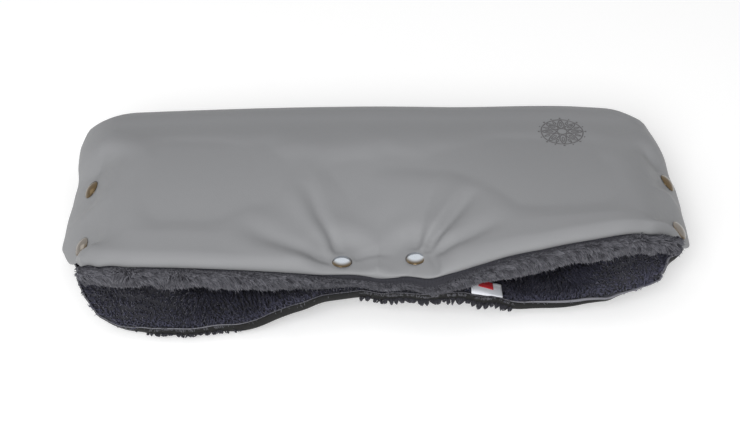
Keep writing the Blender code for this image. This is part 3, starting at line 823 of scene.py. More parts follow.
class NodeTree:
    """A short way to write the nodes of a material, or of the world."""

    def __init__(self, name: str, world: bool = False) -> None:
        """Starts with the one shader that comes with it.

        Args:
            name: Name of the material or the world.
            world: True for the world.
        """
        self.owner = (bpy.data.worlds if world else bpy.data.materials).new(name)
        self.owner.use_nodes = True
        self.tree = self.owner.node_tree
        self.shader = self.tree.nodes["Background" if world else "Principled BSDF"]

    def node(
        self, kind: str, inputs: dict[str | int, object] | None = None, **settings: object
    ) -> bpy.types.Node:
        """Adds a node.

        Args:
            kind: Its type.
            inputs: Values or sockets by the name or number of its inputs.
            **settings: Its own settings.

        Returns:
            The node.
        """
        made = self.tree.nodes.new(kind)
        for key, value in settings.items():
            setattr(made, key, value)
        for key, value in (inputs or {}).items():
            self.feed(made.inputs[key], value)
        return made

    def feed(self, socket: Socket, value: object) -> None:
        """Links a socket to another, or sets its value.

        Args:
            socket: The input.
            value: A socket, a number, a vector or a colour.
        """
        if isinstance(value, Socket):
            self.tree.links.new(value, socket)
        else:
            socket.default_value = (*value, 1.0) if socket.type == "RGBA" else value

    def place(self) -> Socket:
        """Object coordinates."""
        return self.node("ShaderNodeTexCoord").outputs["Object"]

    def noise(self, scale: float, detail: float = 3.0) -> Socket:
        """Noise on the piece, from 0 to 1."""
        inputs = {"Vector": self.place(), "Scale": scale, "Detail": detail}
        return self.node("ShaderNodeTexNoise", inputs).outputs["Fac"]

    def bands(self, scale: float, distortion: float, **settings: object) -> Socket:
        """Even bands on the piece, from 0 to 1."""
        inputs = {"Vector": self.place(), "Scale": scale, "Distortion": distortion}
        return self.node("ShaderNodeTexWave", inputs, wave_type="BANDS", **settings).outputs["Fac"]

    def attribute(self, name: str) -> Socket:
        """A share that is stored on the piece."""
        return self.node("ShaderNodeAttribute", attribute_name=name).outputs["Fac"]

    def math(self, operation: str, a: object, b: object, clamp: bool = False) -> Socket:
        """Two values worked into one."""
        inputs = {0: a, 1: b}
        return self.node("ShaderNodeMath", inputs, operation=operation, use_clamp=clamp).outputs[0]

    def ramp(self, value: Socket, low: float, high: float) -> Socket:
        """A value carried from 0-1 to low-high."""
        inputs = {"Value": value, "To Min": low, "To Max": high}
        return self.node("ShaderNodeMapRange", inputs).outputs["Result"]

    def between(self, share: Socket, first: Socket | Colour, second: Colour) -> Socket:
        """A colour between two."""
        inputs = {"Factor": share, 6: first, 7: second}
        return self.node("ShaderNodeMix", inputs, data_type="RGBA").outputs[2]

    def tinted(self, colour: Socket, attribute: str, tint: Colour) -> Socket:
        """A colour, or the tint where an attribute is 1."""
        return self.between(self.attribute(attribute), colour, tint)

    def seen(self) -> Socket:
        """1 for what the camera sees itself, mirrored or through glass, and 0 for other light.

        Returns:
            The share.
        """
        path = self.node("ShaderNodeLightPath").outputs
        direct = self.math("MAXIMUM", path["Is Camera Ray"], path["Is Glossy Ray"])
        return self.math("MAXIMUM", direct, path["Is Transmission Ray"])

    def bump(
        self, height: Socket, distance: float, strength: float = 1.0, normal: Socket | None = None
    ) -> Socket:
        """A bumped normal.

        Args:
            height: Height of the relief, from 0 to 1.
            distance: Height in metres that 1 stands for.
            strength: Share of the bump that shows.
            normal: A normal to start from.

        Returns:
            The normal.
        """
        inputs = {"Height": height, "Distance": distance, "Strength": strength}
        inputs |= {"Normal": normal} if normal else {}
        return self.node("ShaderNodeBump", inputs).outputs["Normal"]

    def dress(self, **inputs: object) -> Material | bpy.types.World:
        """Feeds the shader.

        Args:
            **inputs: Values and sockets by the shader's inputs; underscores stand for spaces.

        Returns:
            The material or the world.
        """
        for key, value in inputs.items():
            self.feed(self.shader.inputs[key.replace("_", " ")], value)
        return self.owner


@dataclass(frozen=True)
class Leatherette:
    """Grey coated cloth with a fine pebbled grain and a soft sheen."""

    name: str = "grey_leatherette"
    colour: Colour = (0.232, 0.235, 0.243)
    worn: Colour = (0.284, 0.287, 0.295)
    # Painted shade: the dark colour where the painted shade share is 1, for the shadow under the flap's
    # edge and along the lower lip.
    back: Colour = (0.052, 0.053, 0.065)
    grain_scale: float = 1150.0
    grain_depth: float = 0.00016
    sheen: float = 0.06

    def material(self) -> Material:
        """The finish.

        Returns:
            The material.
        """
        t = NodeTree(self.name)
        cells = t.node(
            "ShaderNodeTexVoronoi", {"Vector": t.place(), "Scale": self.grain_scale},
            feature="SMOOTH_F1",
        ).outputs["Distance"]
        soft = t.bump(t.noise(42.0, 2.0), 0.0006, 0.35)
        normal = t.bump(cells, self.grain_depth, 0.55, soft)
        worn, cloud = t.attribute("worn_share"), t.ramp(t.noise(9.0, 4.0), -0.1, 0.22)
        colour = t.between(t.math("ADD", cloud, worn, clamp=True), self.colour, self.worn)
        return t.dress(
            Base_Color=t.tinted(colour, "painted_shade_share", self.back),
            Roughness=t.ramp(t.noise(260.0, 3.0), 0.44, 0.62),
            Specular_IOR_Level=0.22,
            Sheen_Weight=self.sheen,
            Sheen_Roughness=0.4,
            Normal=normal,
        )


@dataclass(frozen=True)
class Plush:
    """Anthracite pile: dark at its roots, lighter and a little violet at its tips."""

    name: str = "anthracite_pile"
    root: Colour = (0.016, 0.016, 0.021)
    tip: Colour = (0.3, 0.3, 0.335)

    def material(self) -> Material:
        """The finish.

        Returns:
            The material.
        """
        t = NodeTree(self.name)
        tone, patch = t.attribute("pile_tone"), t.ramp(t.noise(120.0, 2.0), 0.72, 1.25)
        share = t.math("MULTIPLY", tone, patch, clamp=True)
        return t.dress(
            Base_Color=t.between(share, self.root, self.tip),
            Roughness=t.ramp(t.noise(900.0, 1.0), 0.62, 0.9),
            Specular_IOR_Level=0.22,
            Sheen_Weight=0.18,
            Sheen_Roughness=0.35,
            Sheen_Tint=(0.75, 0.75, 0.85),
        )


@dataclass(frozen=True)
class KnitBacking:
    """The dark knit that the pile stands on."""

    name: str = "plush_knit_backing"
    dark: Colour = (0.02, 0.02, 0.026)
    light: Colour = (0.046, 0.046, 0.058)

    def material(self) -> Material:
        """The finish.

        Returns:
            The material.
        """
        t = NodeTree(self.name)
        rows = t.bands(260.0, 3.0)
        return t.dress(
            Base_Color=t.between(rows, self.dark, self.light),
            Roughness=t.ramp(t.noise(600.0), 0.85, 1.0),
            Normal=t.bump(rows, 0.0004, 0.7),
        )


@dataclass(frozen=True)
class PlatedMetal:
    """Bright plated metal with faint rubbing marks, and a painted reflection tint where the piece marks
    it.
    """

    name: str
    colour: Colour
    dulled: Colour
    roughness: Pair
    # Painted reflection: a dark brown tint for the mirrored surroundings on a cap.
    rim: Colour | None = None

    def material(self) -> Material:
        """The finish.

        Returns:
            The material.
        """
        t = NodeTree(self.name)
        colour = t.between(t.noise(700.0, 4.0), self.colour, self.dulled)
        if self.rim:
            colour = t.tinted(colour, "painted_reflection_share", self.rim)
        return t.dress(
            Base_Color=colour,
            Metallic=1.0,
            Roughness=t.ramp(t.noise(2400.0, 2.0), *self.roughness),
            Normal=t.bump(t.noise(1500.0), 0.00002, 0.3),
        )


@dataclass(frozen=True)
class Satin:
    """Woven satin ribbon or its printing."""

    name: str
    colour: Colour
    shade: Colour

    def material(self) -> Material:
        """The finish.

        Returns:
            The material.
        """
        t = NodeTree(self.name)
        weave = t.bands(900.0, 0.6, bands_direction="Z")
        return t.dress(
            Base_Color=t.between(weave, self.colour, self.shade),
            Roughness=t.ramp(weave, 0.35, 0.6),
            Normal=t.bump(weave, 0.0001, 0.4),
        )


@dataclass(frozen=True)
class PrintInk:
    """Matt ink of the ornament on the flap, thin where it is rubbed."""

    name: str = "dark_grey_print"
    ink: Colour = (0.07, 0.068, 0.072)
    rubbed: Colour = (0.135, 0.133, 0.138)

    def material(self) -> Material:
        """The finish.

        Returns:
            The material.
        """
        t = NodeTree(self.name)
        return t.dress(
            Base_Color=t.between(t.noise(420.0, 5.0), self.ink, self.rubbed),
            Roughness=t.ramp(t.noise(800.0), 0.5, 0.7),
            Normal=t.bump(t.noise(1300.0), 0.00005, 0.4),
        )


@dataclass(frozen=True)
class PaleFloor:
    """White floor that keeps the muff's shadow."""

    name: str = "pale_floor"
    colour: Colour = (0.9, 0.9, 0.9)
    lift: float = 0.22

    def material(self) -> Material:
        """The finish.

        Returns:
            The material.
        """
        t = NodeTree(self.name)
        return t.dress(
            Base_Color=t.between(t.noise(3.0), self.colour, self.colour),
            Roughness=0.9,
            Specular_IOR_Level=0.0,
            Emission_Color=(1.0, 1.0, 1.0),
            Emission_Strength=t.math("MULTIPLY", t.seen(), self.lift),
        )


class Finish(Protocol):
    """Whatever makes a material."""

    def material(self) -> Material:
        """The material."""


def dressed(finish: Finish) -> Material:
    """A field whose material is made together with the other finishes."""
    return field(default_factory=finish.material)


@dataclass
class Finishes:
    """Every finish of the muff, made once."""

    leatherette: Material = dressed(Leatherette())
    # Painted shade: a darker copy of the grey leatherette, for the turned edge of the lower lip.
    edge: Material = dressed(
        Leatherette("shaded_leatherette_edge", (0.12, 0.12, 0.138), (0.2, 0.2, 0.225))
    )
    # Painted shadow: a near-black copy of the leatherette for the band below the lower lip, where the
    # lip's shade falls.
    band: Material = dressed(Leatherette("painted_shadow_edge_band", (0.004,) * 3, (0.007,) * 3, sheen=0.0))
    pile: Material = dressed(Plush())
    # Painted shade: a darker copy of the same plush for the lining, which lies in the shade inside the
    # muff.
    shaded_lining_pile: Material = dressed(
        Plush("anthracite_pile_painted_shade", (0.009, 0.009, 0.016), (0.08, 0.081, 0.122))
    )
    backing: Material = dressed(KnitBacking())
    nickel: Material = dressed(
        PlatedMetal(
            "nickel_plate", (0.66, 0.7, 0.75), (0.52, 0.56, 0.61), roughness=(0.07, 0.16),
            # Painted reflection: the dark brown tint on the caps.
            rim=(0.12, 0.086, 0.048),
        )
    )
    bronze: Material = dressed(
        PlatedMetal("spring_bronze", (0.62, 0.44, 0.22), (0.48, 0.32, 0.15), (0.18, 0.34))
    )
    satin: Material = dressed(Satin("label_satin", (0.8, 0.82, 0.86), (0.66, 0.68, 0.74)))
    red: Material = dressed(Satin("label_red", (0.62, 0.03, 0.04), (0.42, 0.02, 0.03)))
    ink: Material = dressed(PrintInk())


@dataclass
class Cover:
    """Leatherette and wadding of the muff: the flap with the fold, and the lower half."""

    shape: MuffShape
    finishes: Finishes
    cell: float = 0.0042
    fine_cell: float = 0.0025
    fine_reach: float = 0.065
    fine_from: float = 0.74
    curl_reach: float = 0.011
    curl_steps: int = 5
    pressed_curl_share: float = 0.4
    lower_curl_share: float = 0.6
    lower_cell_share: float = 1.4
    front_curl: float = 0.005
    corner_radius: float = 0.009
    side_curl: float = 0.0045
    skin: float = 0.0016
    pressure: float = 4.0
    swell_limit: float = 0.0034
    sink_limit: float = 0.0003
    evening_rounds: int = 14
    frames: int = 20
    crease_hold: float = 0.0012
    crease_snap_fade: Pair = (0.014, 0.0105)
    free_from_edge: Pair = (0.008, 0.075)
    free_from_snap: Pair = (0.0125, 0.036)
    free_from_fold_shares: Pair = (-0.15, 0.3)
    worn_edge: float = 0.016
    worn_edge_share: float = 0.55
    worn_lower_share: float = 0.1
    creases: tuple[Crease, ...] = (
        Crease(
            ((-0.046, -0.0885), (-0.072, -0.0807), (-0.1066, -0.0679), (-0.1426, -0.0436)),
            0.003, 0.0085, 0.45,
        ),
        Crease(
            ((-0.038, -0.0775), (-0.045, -0.0616), (-0.0563, -0.0418), (-0.0797, 0.0187)),
            0.003, 0.007, 0.5,
        ),
        Crease(
            ((0.047, -0.083), (0.053, -0.072), (0.066, -0.056), (0.081, -0.037),
             (0.099, -0.011)),
            0.0058, 0.0058, 0.35,
        ),
        Crease(
            ((0.037, -0.077), (0.0435, -0.0458), (0.0484, -0.0307), (0.0614, 0.0045)),
            0.0022, 0.005, -0.4,
        ),
        Crease(((0.05, -0.09), (0.085, -0.077), (0.123, -0.057)), 0.0034, 0.0074, 0.3),
        Crease(
            ((-0.023, -0.084), (-0.012, -0.0795), (0.001, -0.078), (0.013, -0.0795),
             (0.0235, -0.086)),
            0.0019, 0.0028, -0.5,
        ),
        Crease(
            ((0.044, -0.0893), (0.0505, -0.0915), (0.054, -0.099), (0.055, -0.111)),
            0.003, 0.0027, 0.5,
        ),
        Crease(((0.0325, -0.101), (0.0322, -0.112)), 0.0014, 0.0022, 0.4),
        Crease(((-0.271, 0.024), (-0.264, 0.037), (-0.256, 0.05)), 0.0022, 0.0042, 0.6),
        Crease(((-0.27, -0.001), (-0.26, -0.02), (-0.248, -0.03)), 0.0016, 0.006, 0.4),
        Crease(((0.266, 0.001), (0.256, -0.01), (0.244, -0.03)), 0.0022, 0.0055, 0.5),
        Crease(((0.265, 0.025), (0.256, 0.033), (0.2449, 0.042)), 0.0022, 0.0045, -0.5),
        Crease(((0.268, -0.069), (0.258, -0.076), (0.242, -0.08)), 0.0018, 0.006, 0.5),
        Crease(((-0.269, -0.07), (-0.266, -0.08), (-0.265, -0.095)), 0.0022, 0.004, 0.6),
    )

    def columns(self) -> list[float]:
        """Places across, as shares of the half width, closer together round the middle snaps.

        Returns:
            The places in order.
        """
        width, reach = self.shape.half_width, self.fine_reach
        count = round(reach / self.fine_cell)
        right = [reach * i / count for i in range(count)]
        right += spaced_ends(reach, width, self.cell, self.curl_reach, self.curl_steps)
        return [-x / width for x in reversed(right[1:])] + [x / width for x in right]

    def curl_share(self, across: Array, along: Array, front: bool) -> Array:
        """How far the rounded edge has turned, from 0 to 1.

        Args:
            across: Places across, from -1 to 1.
            along: Places along, from 0 at the fold to 1.
            front: True where the front edge is rounded too.

        Returns:
            Shares from 0 to 1.
        """
        shape, reach = self.shape, self.curl_reach
        side = np.clip(1 - (1 - np.abs(across)) * shape.half_width / reach, 0, 1)
        ahead = np.clip(1 - (shape.cover_end - along) * shape.flap_depth / reach, 0, 1)
        t = np.minimum(np.hypot(side, ahead * front), 1.0)
        return 1 - np.sqrt(1 - t * t)

    def cut_round(self, across: Array, along: Array) -> tuple[Array, Array]:
        """Places of the flap with its two front corners drawn in to a round cut.

        Args:
            across: Places across, from -1 to 1.
            along: Places along, from 0 at the fold to 1.

        Returns:
            The new places across and along.
        """
        shape, radius = self.shape, self.corner_radius
        side = np.maximum(radius - (1 - np.abs(across)) * shape.half_width, 0.0)
        ahead = np.maximum(radius - (shape.cover_end - along) * shape.flap_depth, 0.0)
        share = np.maximum(side, ahead) / np.maximum(np.hypot(side, ahead), 1e-9)
        pull = np.where((side > 0) & (ahead > 0), 1 - share, 0.0)
        across = across - np.sign(across) * side * pull / shape.half_width
        return across, along - ahead * pull / shape.flap_depth

    def flap_place(self, across: Array, along: Array, outer: Array) -> Array:
        """Points of the fold and the flap, creases included.

        Args:
            across: Places across, from -1 to 1.
            along: Places along, from -1 under the fold to 1.
            outer: True for points on the outside.

        Returns:
            Points, one row each.
        """
        shape = self.shape
        curled = self.curl_share(across, along, True)
        across, along = self.cut_round(across, along)
        x, y = shape.developed(across, np.clip(along, 0, 1))
        levels = shape.levels(x, y, shape.edge_distance(across, along))
        drop = sum(crease.drop(x, y) for crease in self.creases) * (along >= 0)
        drop = drop * (1 - ease(*self.crease_snap_fade, shape.snap_distance(x, y)))
        depth = mix(self.side_curl, self.front_curl, ease(0.85, 1.0, along))
        depth = depth * mix(1.0, self.pressed_curl_share, levels["pressed"])
        top = levels["top"] - curled * depth
        top = top - np.minimum(drop, np.maximum(top - levels["bottom"] - 0.7 * self.skin, 0.0))
        bottom = np.minimum(levels["bottom"], top - self.skin)
        return shape.flap_points(across, along, np.where(outer, top, bottom))

    def lower_place(self, across: Array, along: Array, outer: Array) -> Array:
        """Points of the lower half.

        Args:
            across: Places across, from -1 to 1.
            along: Places along, from 0 at the fold to 1.
            outer: True for points on the outside.

        Returns:
            Points, one row each.
        """
        shape = self.shape
        levels = shape.levels_at(across, along)
        curled = self.curl_share(across, along, False) * self.lower_curl_share
        top = levels["top"] - curled * self.side_curl
        bottom = np.minimum(levels["bottom"], top - self.skin)
        return shape.lower_points(across, along, np.where(outer, top, bottom))

    def settle(self, obj: Piece, free: Array) -> None:
        """Lets the wadding swell the cloth between the places where it is held.

        Args:
            obj: The padded piece.
            free: How free each point is, from 0 where it is sewn or pressed, to 1.
        """
        rest = np.array([v.co for v in obj.data.vertices])
        outward = np.array([v.normal for v in obj.data.vertices])
        held = obj.vertex_groups.new(name="held")
        for level in range(11):
            picked = np.flatnonzero(np.rint((1 - free) * 10) == level)
            if level and len(picked):
                held.add(picked.tolist(), level / 10, "REPLACE")
        cloth = obj.modifiers.new("wadding", "CLOTH")
        settings = cloth.settings
        settings.quality = 5
        settings.mass = 0.25
        settings.tension_stiffness = settings.compression_stiffness = 25
        settings.bending_stiffness = 1.5
        settings.use_pressure = True
        settings.uniform_pressure_force = self.pressure
        settings.shrink_min = -0.008
        settings.effector_weights.gravity = 0.0
        settings.vertex_group_mass = held.name
        cloth.collision_settings.use_collision = False
        cloth.point_cache.frame_end = self.frames
        for number in range(1, self.frames + 1):
            bpy.context.scene.frame_set(number)
        view = obj.evaluated_get(bpy.context.evaluated_depsgraph_get())
        swollen = np.array([v.co for v in view.data.vertices])
        obj.modifiers.remove(cloth)
        obj.vertex_groups.remove(held)
        bpy.context.scene.frame_set(1)
        move = swollen - rest
        sunk = np.minimum(np.sum(move * outward, axis=1) + self.sink_limit, 0.0)
        move = self.evened(obj, move - outward * sunk[:, None])
        far = np.linalg.norm(move, axis=1, keepdims=True)
        limit = self.swell_limit * free[:, None]
        move = move * np.minimum(1.0, limit / np.maximum(far, 1e-9))
        obj.data.vertices.foreach_set("co", (rest + move).reshape(-1).astype(np.float32))
        obj.data.update()
        log.info("%s swelled by up to %.1f mm", obj.name, 1000 * np.linalg.norm(move, axis=1).max())

    def evened(self, obj: Piece, move: Array) -> Array:
        """Evens out the swelling, as the wadding does.

        Args:
            obj: The padded piece.
            move: How far each of its points has moved.

        Returns:
            The new moves.
        """
        ends = np.array([e.vertices for e in obj.data.edges])
        count = np.bincount(ends.ravel(), minlength=len(move))[:, None]
        for _ in range(self.evening_rounds):
            total = np.zeros_like(move)
            np.add.at(total, ends[:, 0], move[ends[:, 1]])
            np.add.at(total, ends[:, 1], move[ends[:, 0]])
            move = 0.5 * move + 0.5 * total / count
        return move

    def build_flap(self) -> Piece:
        """The flap and the fold behind it, in one piece as they are cut.

        Returns:
            The flap.
        """
        shape, marks = self.shape, {}

        def place(across: Array, along: Array, outer: Array) -> Array:
            """Points of the flap, whose places are kept."""
            marks.update(across=across, along=along, outer=outer)
            return self.flap_place(across, along, outer)

        curl, fine = self.curl_reach / shape.flap_depth, self.fine_cell / shape.flap_depth
        count = round(self.fine_from * shape.flap_depth / self.cell)
        flat = [self.fine_from * i / count for i in range(count)]
        flat += spaced_ends(self.fine_from, shape.cover_end, fine, curl, self.curl_steps)
        turns = math.ceil(math.pi * shape.fold_radius / (2 * self.cell))
        rows = [-1 + i / turns for i in range(turns)] + flat
        obj = new_object("flap_cover", cloth_slab(self.columns(), rows, place), self.finishes.leatherette)
        across, along, outer = marks["across"], marks["along"], marks["outer"]
        x, y = shape.developed(across, along)
        edge = shape.edge_distance(across, along)
        free = ease(*self.free_from_edge, edge)
        free = free * ease(*self.free_from_snap, shape.snap_distance(x, y))
        free = free * ease(*self.free_from_fold_shares, along) * outer
        creased = sum(crease.drop(x, y) for crease in self.creases) / self.crease_hold
        free = free * (1 - np.clip(creased, 0.0, 1.0))
        self.settle(obj, free)
        worn = self.worn_edge_share * ease(self.worn_edge, 0.0, edge) * outer
        store_share(obj, "worn_share", worn)
        # Painted shade: the inside of the flap's cover is dark but for its last 3 mm, as the shadow under
        # the leatherette's front edge.
        inside = np.minimum(edge, (shape.cover_end - along) * shape.flap_depth)
        store_share(obj, "painted_shade_share", (1.0 - outer) * ease(0.0005, 0.003, inside))
        soften(obj, "PRESERVE_CORNERS")
        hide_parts("upper_shell", "upper_wadding", "back_fold_shell", "back_fold_wadding")
        return blend_over_fold(obj)

    def build_lower(self) -> Piece:
        """The lower half of the cover, on which the muff lies.

        Returns:
            The lower half.
        """
        shape, marks = self.shape, {}
        cell = self.lower_cell_share * self.cell / shape.flap_depth

        def place(across: Array, along: Array, outer: Array) -> Array:
            """Points of the lower half, whose plush side and rim are kept for the painted shade.

            Args:
                across: Places across, from -1 to 1.
                along: Places along, from 0 at the fold to 1.
                outer: True for points on the outside.

            Returns:
                Points, one row each.
            """
            # Painted shade: the plush side, and the outside within 4 mm of the edge, take the dark colour
            # as the shadow along the lower lip.
            rim = ease(0.004, 0.0, shape.edge_distance(across, along))
            marks.update(inner=np.maximum(1.0 - outer, rim))
            return self.lower_place(across, along, outer)

        slab = cloth_slab(self.columns(), spaced_ends(0.0, 1.0, cell, 0.05, 4), place)
        obj = new_object("lower_cover", slab, self.finishes.leatherette)
        store_share(obj, "worn_share", np.full(len(obj.data.vertices), self.worn_lower_share))
        store_share(obj, "painted_shade_share", marks["inner"])
        soften(obj, "PRESERVE_CORNERS")
        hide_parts("lower_shell", "lower_wadding")
        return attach(obj, Body.LOWER.value)


def blend_over_fold(obj: Piece) -> Piece:
    """Bakes the piece's placing into its mesh; it is not made to follow either half.

    Args:
        obj: The piece.

    Returns:
        The piece.
    """
    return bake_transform(obj)


@dataclass
class Lining:
    """Plush lining: a knit backing on each half, and the pile that stands on it."""

    shape: MuffShape
    finishes: Finishes
    inset: float = 0.0055
    backing: float = 0.0013
    cell: float = 0.0075
    front_setback: float = 0.0055
    front_dip: float = 0.65
    front_dip_fade: Pair = (0.016, 0.008)
    fine_spacing: float = 0.00185
    wide_spacing: float = 0.0031
    flap_spacing: float = 0.0028
    fold_spacing: float = 0.0036
    fine_radius: float = 0.0008
    wide_radius: float = 0.0013
    flap_radius: float = 0.0012
    fold_radius: float = 0.0014
    fold_arc_radius: float = 0.036
    fine_depth: float = 0.066
    overhang: float = 0.0035
    lock_bend: float = 0.0011
    lean: Pair = (0.0022, 0.002)
    lean_waves: Pair = (0.045, 0.038)
    lean_scatter: float = 0.0011
    side_fade: Pair = (0.016, 0.004)
    front_fade: Pair = (0.02, 0.004)
    clump: Pair = (0.0062, 0.0055)
    clump_share: float = 0.45
    # Painted highlight: the lining's pile is lighter near the front edge, and brighter still on the
    # right.
    highlight_xs: Pair = (0.11, 0.17)
    lip_highlight: float = 0.55
    shadow_line: Table = (
        (-0.27, -0.0865), (-0.213, -0.087), (-0.185, -0.079), (-0.156, -0.0735),
        (-0.128, -0.0765), (-0.099, -0.0915), (-0.071, -0.1014), (-0.043, -0.11),
        (0.0, -0.1145), (0.043, -0.114), (0.071, -0.112), (0.099, -0.1), (0.128, -0.0664),
        (0.156, -0.051), (0.185, -0.0559), (0.213, -0.079), (0.241, -0.087), (0.27, -0.0795),
    )
    shadow_reach: float = 0.005
    shadow_share: float = 0.85

    def grid(self, fold: bool) -> tuple[list[float], list[float]]:
        """Places across and along for a backing.

        Args:
            fold: True where it goes on round the fold.

        Returns:
            The places across, and those along.
        """
        shape = self.shape
        edge = 1 - self.inset / shape.half_width
        count = round(2 * shape.half_width / self.cell)
        columns = [mix(-edge, edge, i / count) for i in range(count + 1)]
        rows_count = round(shape.flap_depth / self.cell)
        last = 1 - (self.front_setback if fold else self.inset) / shape.flap_depth
        rows = [last * i / rows_count for i in range(rows_count + 1)]
        if fold:
            rows = [-1 + i / 12 for i in range(12)] + rows
        return columns, rows

    def depths(self, across: Array, along: Array) -> Array:
        """Depth of the lining's top."""
        return self.shape.levels_at(across, along)["lining"]

    def build_backing(self, upper: bool) -> Piece:
        """The knit backing of one half; the upper one goes on round the fold.

        Args:
            upper: True for the flap.

        Returns:
            The backing.
        """
        shape = self.shape
        points = shape.flap_points if upper else shape.lower_points

        def place(across: Array, along: Array, outer: Array) -> Array:
            """Points of the knit; the flap's dips at its front.

            Args:
                across: Places across, from -1 to 1.
                along: Places along, from -1 under the fold to 1.
                outer: True for points on the outside.

            Returns:
                Points, one row each.
            """
            top = self.depths(across, along) - shape.layer_gap
            if upper:
                ahead = (1 - along) * shape.flap_depth
                top = top * (1 - self.front_dip * ease(*self.front_dip_fade, ahead))
            return points(across, along, np.where(outer, top, top - self.backing))

        columns, rows = self.grid(fold=upper)
        name = "flap_plush_backing" if upper else "lower_plush_backing"
        obj = new_object(name, cloth_slab(columns, rows, place), self.finishes.backing)
        soften(obj)
        if not upper:
            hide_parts("lower_lining")
            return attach(obj, Body.LOWER.value)
        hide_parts("upper_lining", "back_fold_lining")
        return blend_over_fold(obj)

    def scattered(self, along: Pair, spacing: float, seed: int) -> tuple[Array, Array]:
        """Roots spread evenly, each a little off its place.

        Args:
            along: First and last place along the cloth.
            spacing: Distance between roots, in metres.
            seed: Picks one scatter.

        Returns:
            Places across and along.
        """
        shape, rng = self.shape, np.random.default_rng(seed)
        unit_length = math.pi * self.fold_arc_radius if along[1] <= 0 else shape.flap_depth
        rows = max(2, round((along[1] - along[0]) * unit_length / spacing))
        edge = 1 - self.inset / shape.half_width
        columns = round(2 * edge * shape.half_width / spacing)
        u, v = jittered(rng, columns, rows)
        return mix(-edge, edge, u / columns), mix(*along, v / rows)

    def build_pile(self, name: str, half: Half, patches: Table, seed: int) -> Piece:
        """Pile of one lining, reaching to the parting face and a little past its edges.

        Args:
            name: Name of the piece.
            half: The half that it lines.
            patches: For each patch, its first and last place along, the spacing and the radius.
            seed: Picks one scatter.

        Returns:
            The pile.
        """
        shape, rng = self.shape, np.random.default_rng(seed)
        points = shape.flap_points if half is Half.UPPER else shape.lower_points
        found = [self.scattered((a, b), gap, seed + i) for i, (a, b, gap, _) in enumerate(patches)]
        across = np.concatenate([f[0] for f in found])
        along = np.concatenate([f[1] for f in found])
        radius = np.concatenate([np.full(len(f[0]), p[3]) for f, p in zip(found, patches)])
        count = len(across)
        depth = self.depths(across, along) - shape.layer_gap
        roots = points(across, along, depth - 0.6 * self.backing)
        x, y = shape.developed(across, along)
        lean_x, lean_y = (
            lean * waves(x, y, length, seed + i) + rng.normal(0, self.lean_scatter, count)
            for i, (lean, length) in enumerate(zip(self.lean, self.lean_waves))
        )
        side = ease(*self.side_fade, (1 - np.abs(across)) * shape.half_width)
        ahead = ease(*self.front_fade, (1 - along) * shape.flap_depth)
        lean_x += np.sign(across) * self.overhang * side
        lean_y -= 0.3 * self.overhang * ahead
        length = rng.uniform(0.8, 1.04, count)
        tip_depth = mix(depth, shape.layer_gap / 2, length) - 0.0016 * rng.random(count) * ahead
        tip_along = along - lean_y / shape.flap_depth
        tips = points(
            np.clip(across + lean_x / shape.half_width, -1.0, 1.0), np.minimum(tip_along, 1.0),
            tip_depth,
        )
        tips[:, 0] += np.sign(across) * self.overhang * 1.4 * side * rng.random(count)
        tips[:, 1] -= self.overhang * 0.25 * ahead * rng.random(count) * (along > 0)
        tips = clumped(tips, x / self.clump[0], y / self.clump[1], (1, 1), self.clump_share)
        bend = rng.normal(0, self.lock_bend, (count, 3))
        tone = 0.5 + 0.15 * waves(x, y, 0.022, seed + 2) + rng.normal(0, 0.09, count)
        # Painted highlight: lighter locks towards the front edge, where light reaches into the mouth.
        highlight = mix(self.lip_highlight, 1.8 * self.lip_highlight, ease(*self.highlight_xs, x))
        tone = np.clip(np.clip(tone, 0, 1) + highlight * ahead, 0, 1.6)
        if half is Half.LOWER:
            away = (y - looked_up(self.shadow_line, x)) / self.shadow_reach
            tone *= 1 - self.shadow_share * np.exp(-away * away)
        radius = radius * rng.uniform(0.7, 1.25, count)
        return grow_pile(name, roots, tips, bend, radius, tone, self.finishes.shaded_lining_pile)

    def build(self) -> list[Piece]:
        """Both backings and both piles.

        Returns:
            The four pieces.
        """
        shape = self.shape
        fine_from = 1 - self.fine_depth / shape.flap_depth
        last = 1 - 0.6 * self.inset / shape.flap_depth
        flap_last = 1 - 1.5 * shape.cover_setback / shape.flap_depth
        lower_patches = (
            (0.0, fine_from, self.wide_spacing, self.wide_radius),
            (fine_from, last, self.fine_spacing, self.fine_radius),
        )
        flap_patches = (
            (-1.0, 0.0, self.fold_spacing, self.fold_radius),
            (0.0, flap_last, self.flap_spacing, self.flap_radius),
        )
        lower = self.build_pile("lower_plush_pile", Half.LOWER, lower_patches, seed=11)
        flap = self.build_pile("flap_plush_pile", Half.UPPER, flap_patches, seed=23)
        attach(lower, Body.LOWER.value)
        blend_over_fold(flap)
        return [self.build_backing(upper=False), self.build_backing(upper=True), lower, flap]


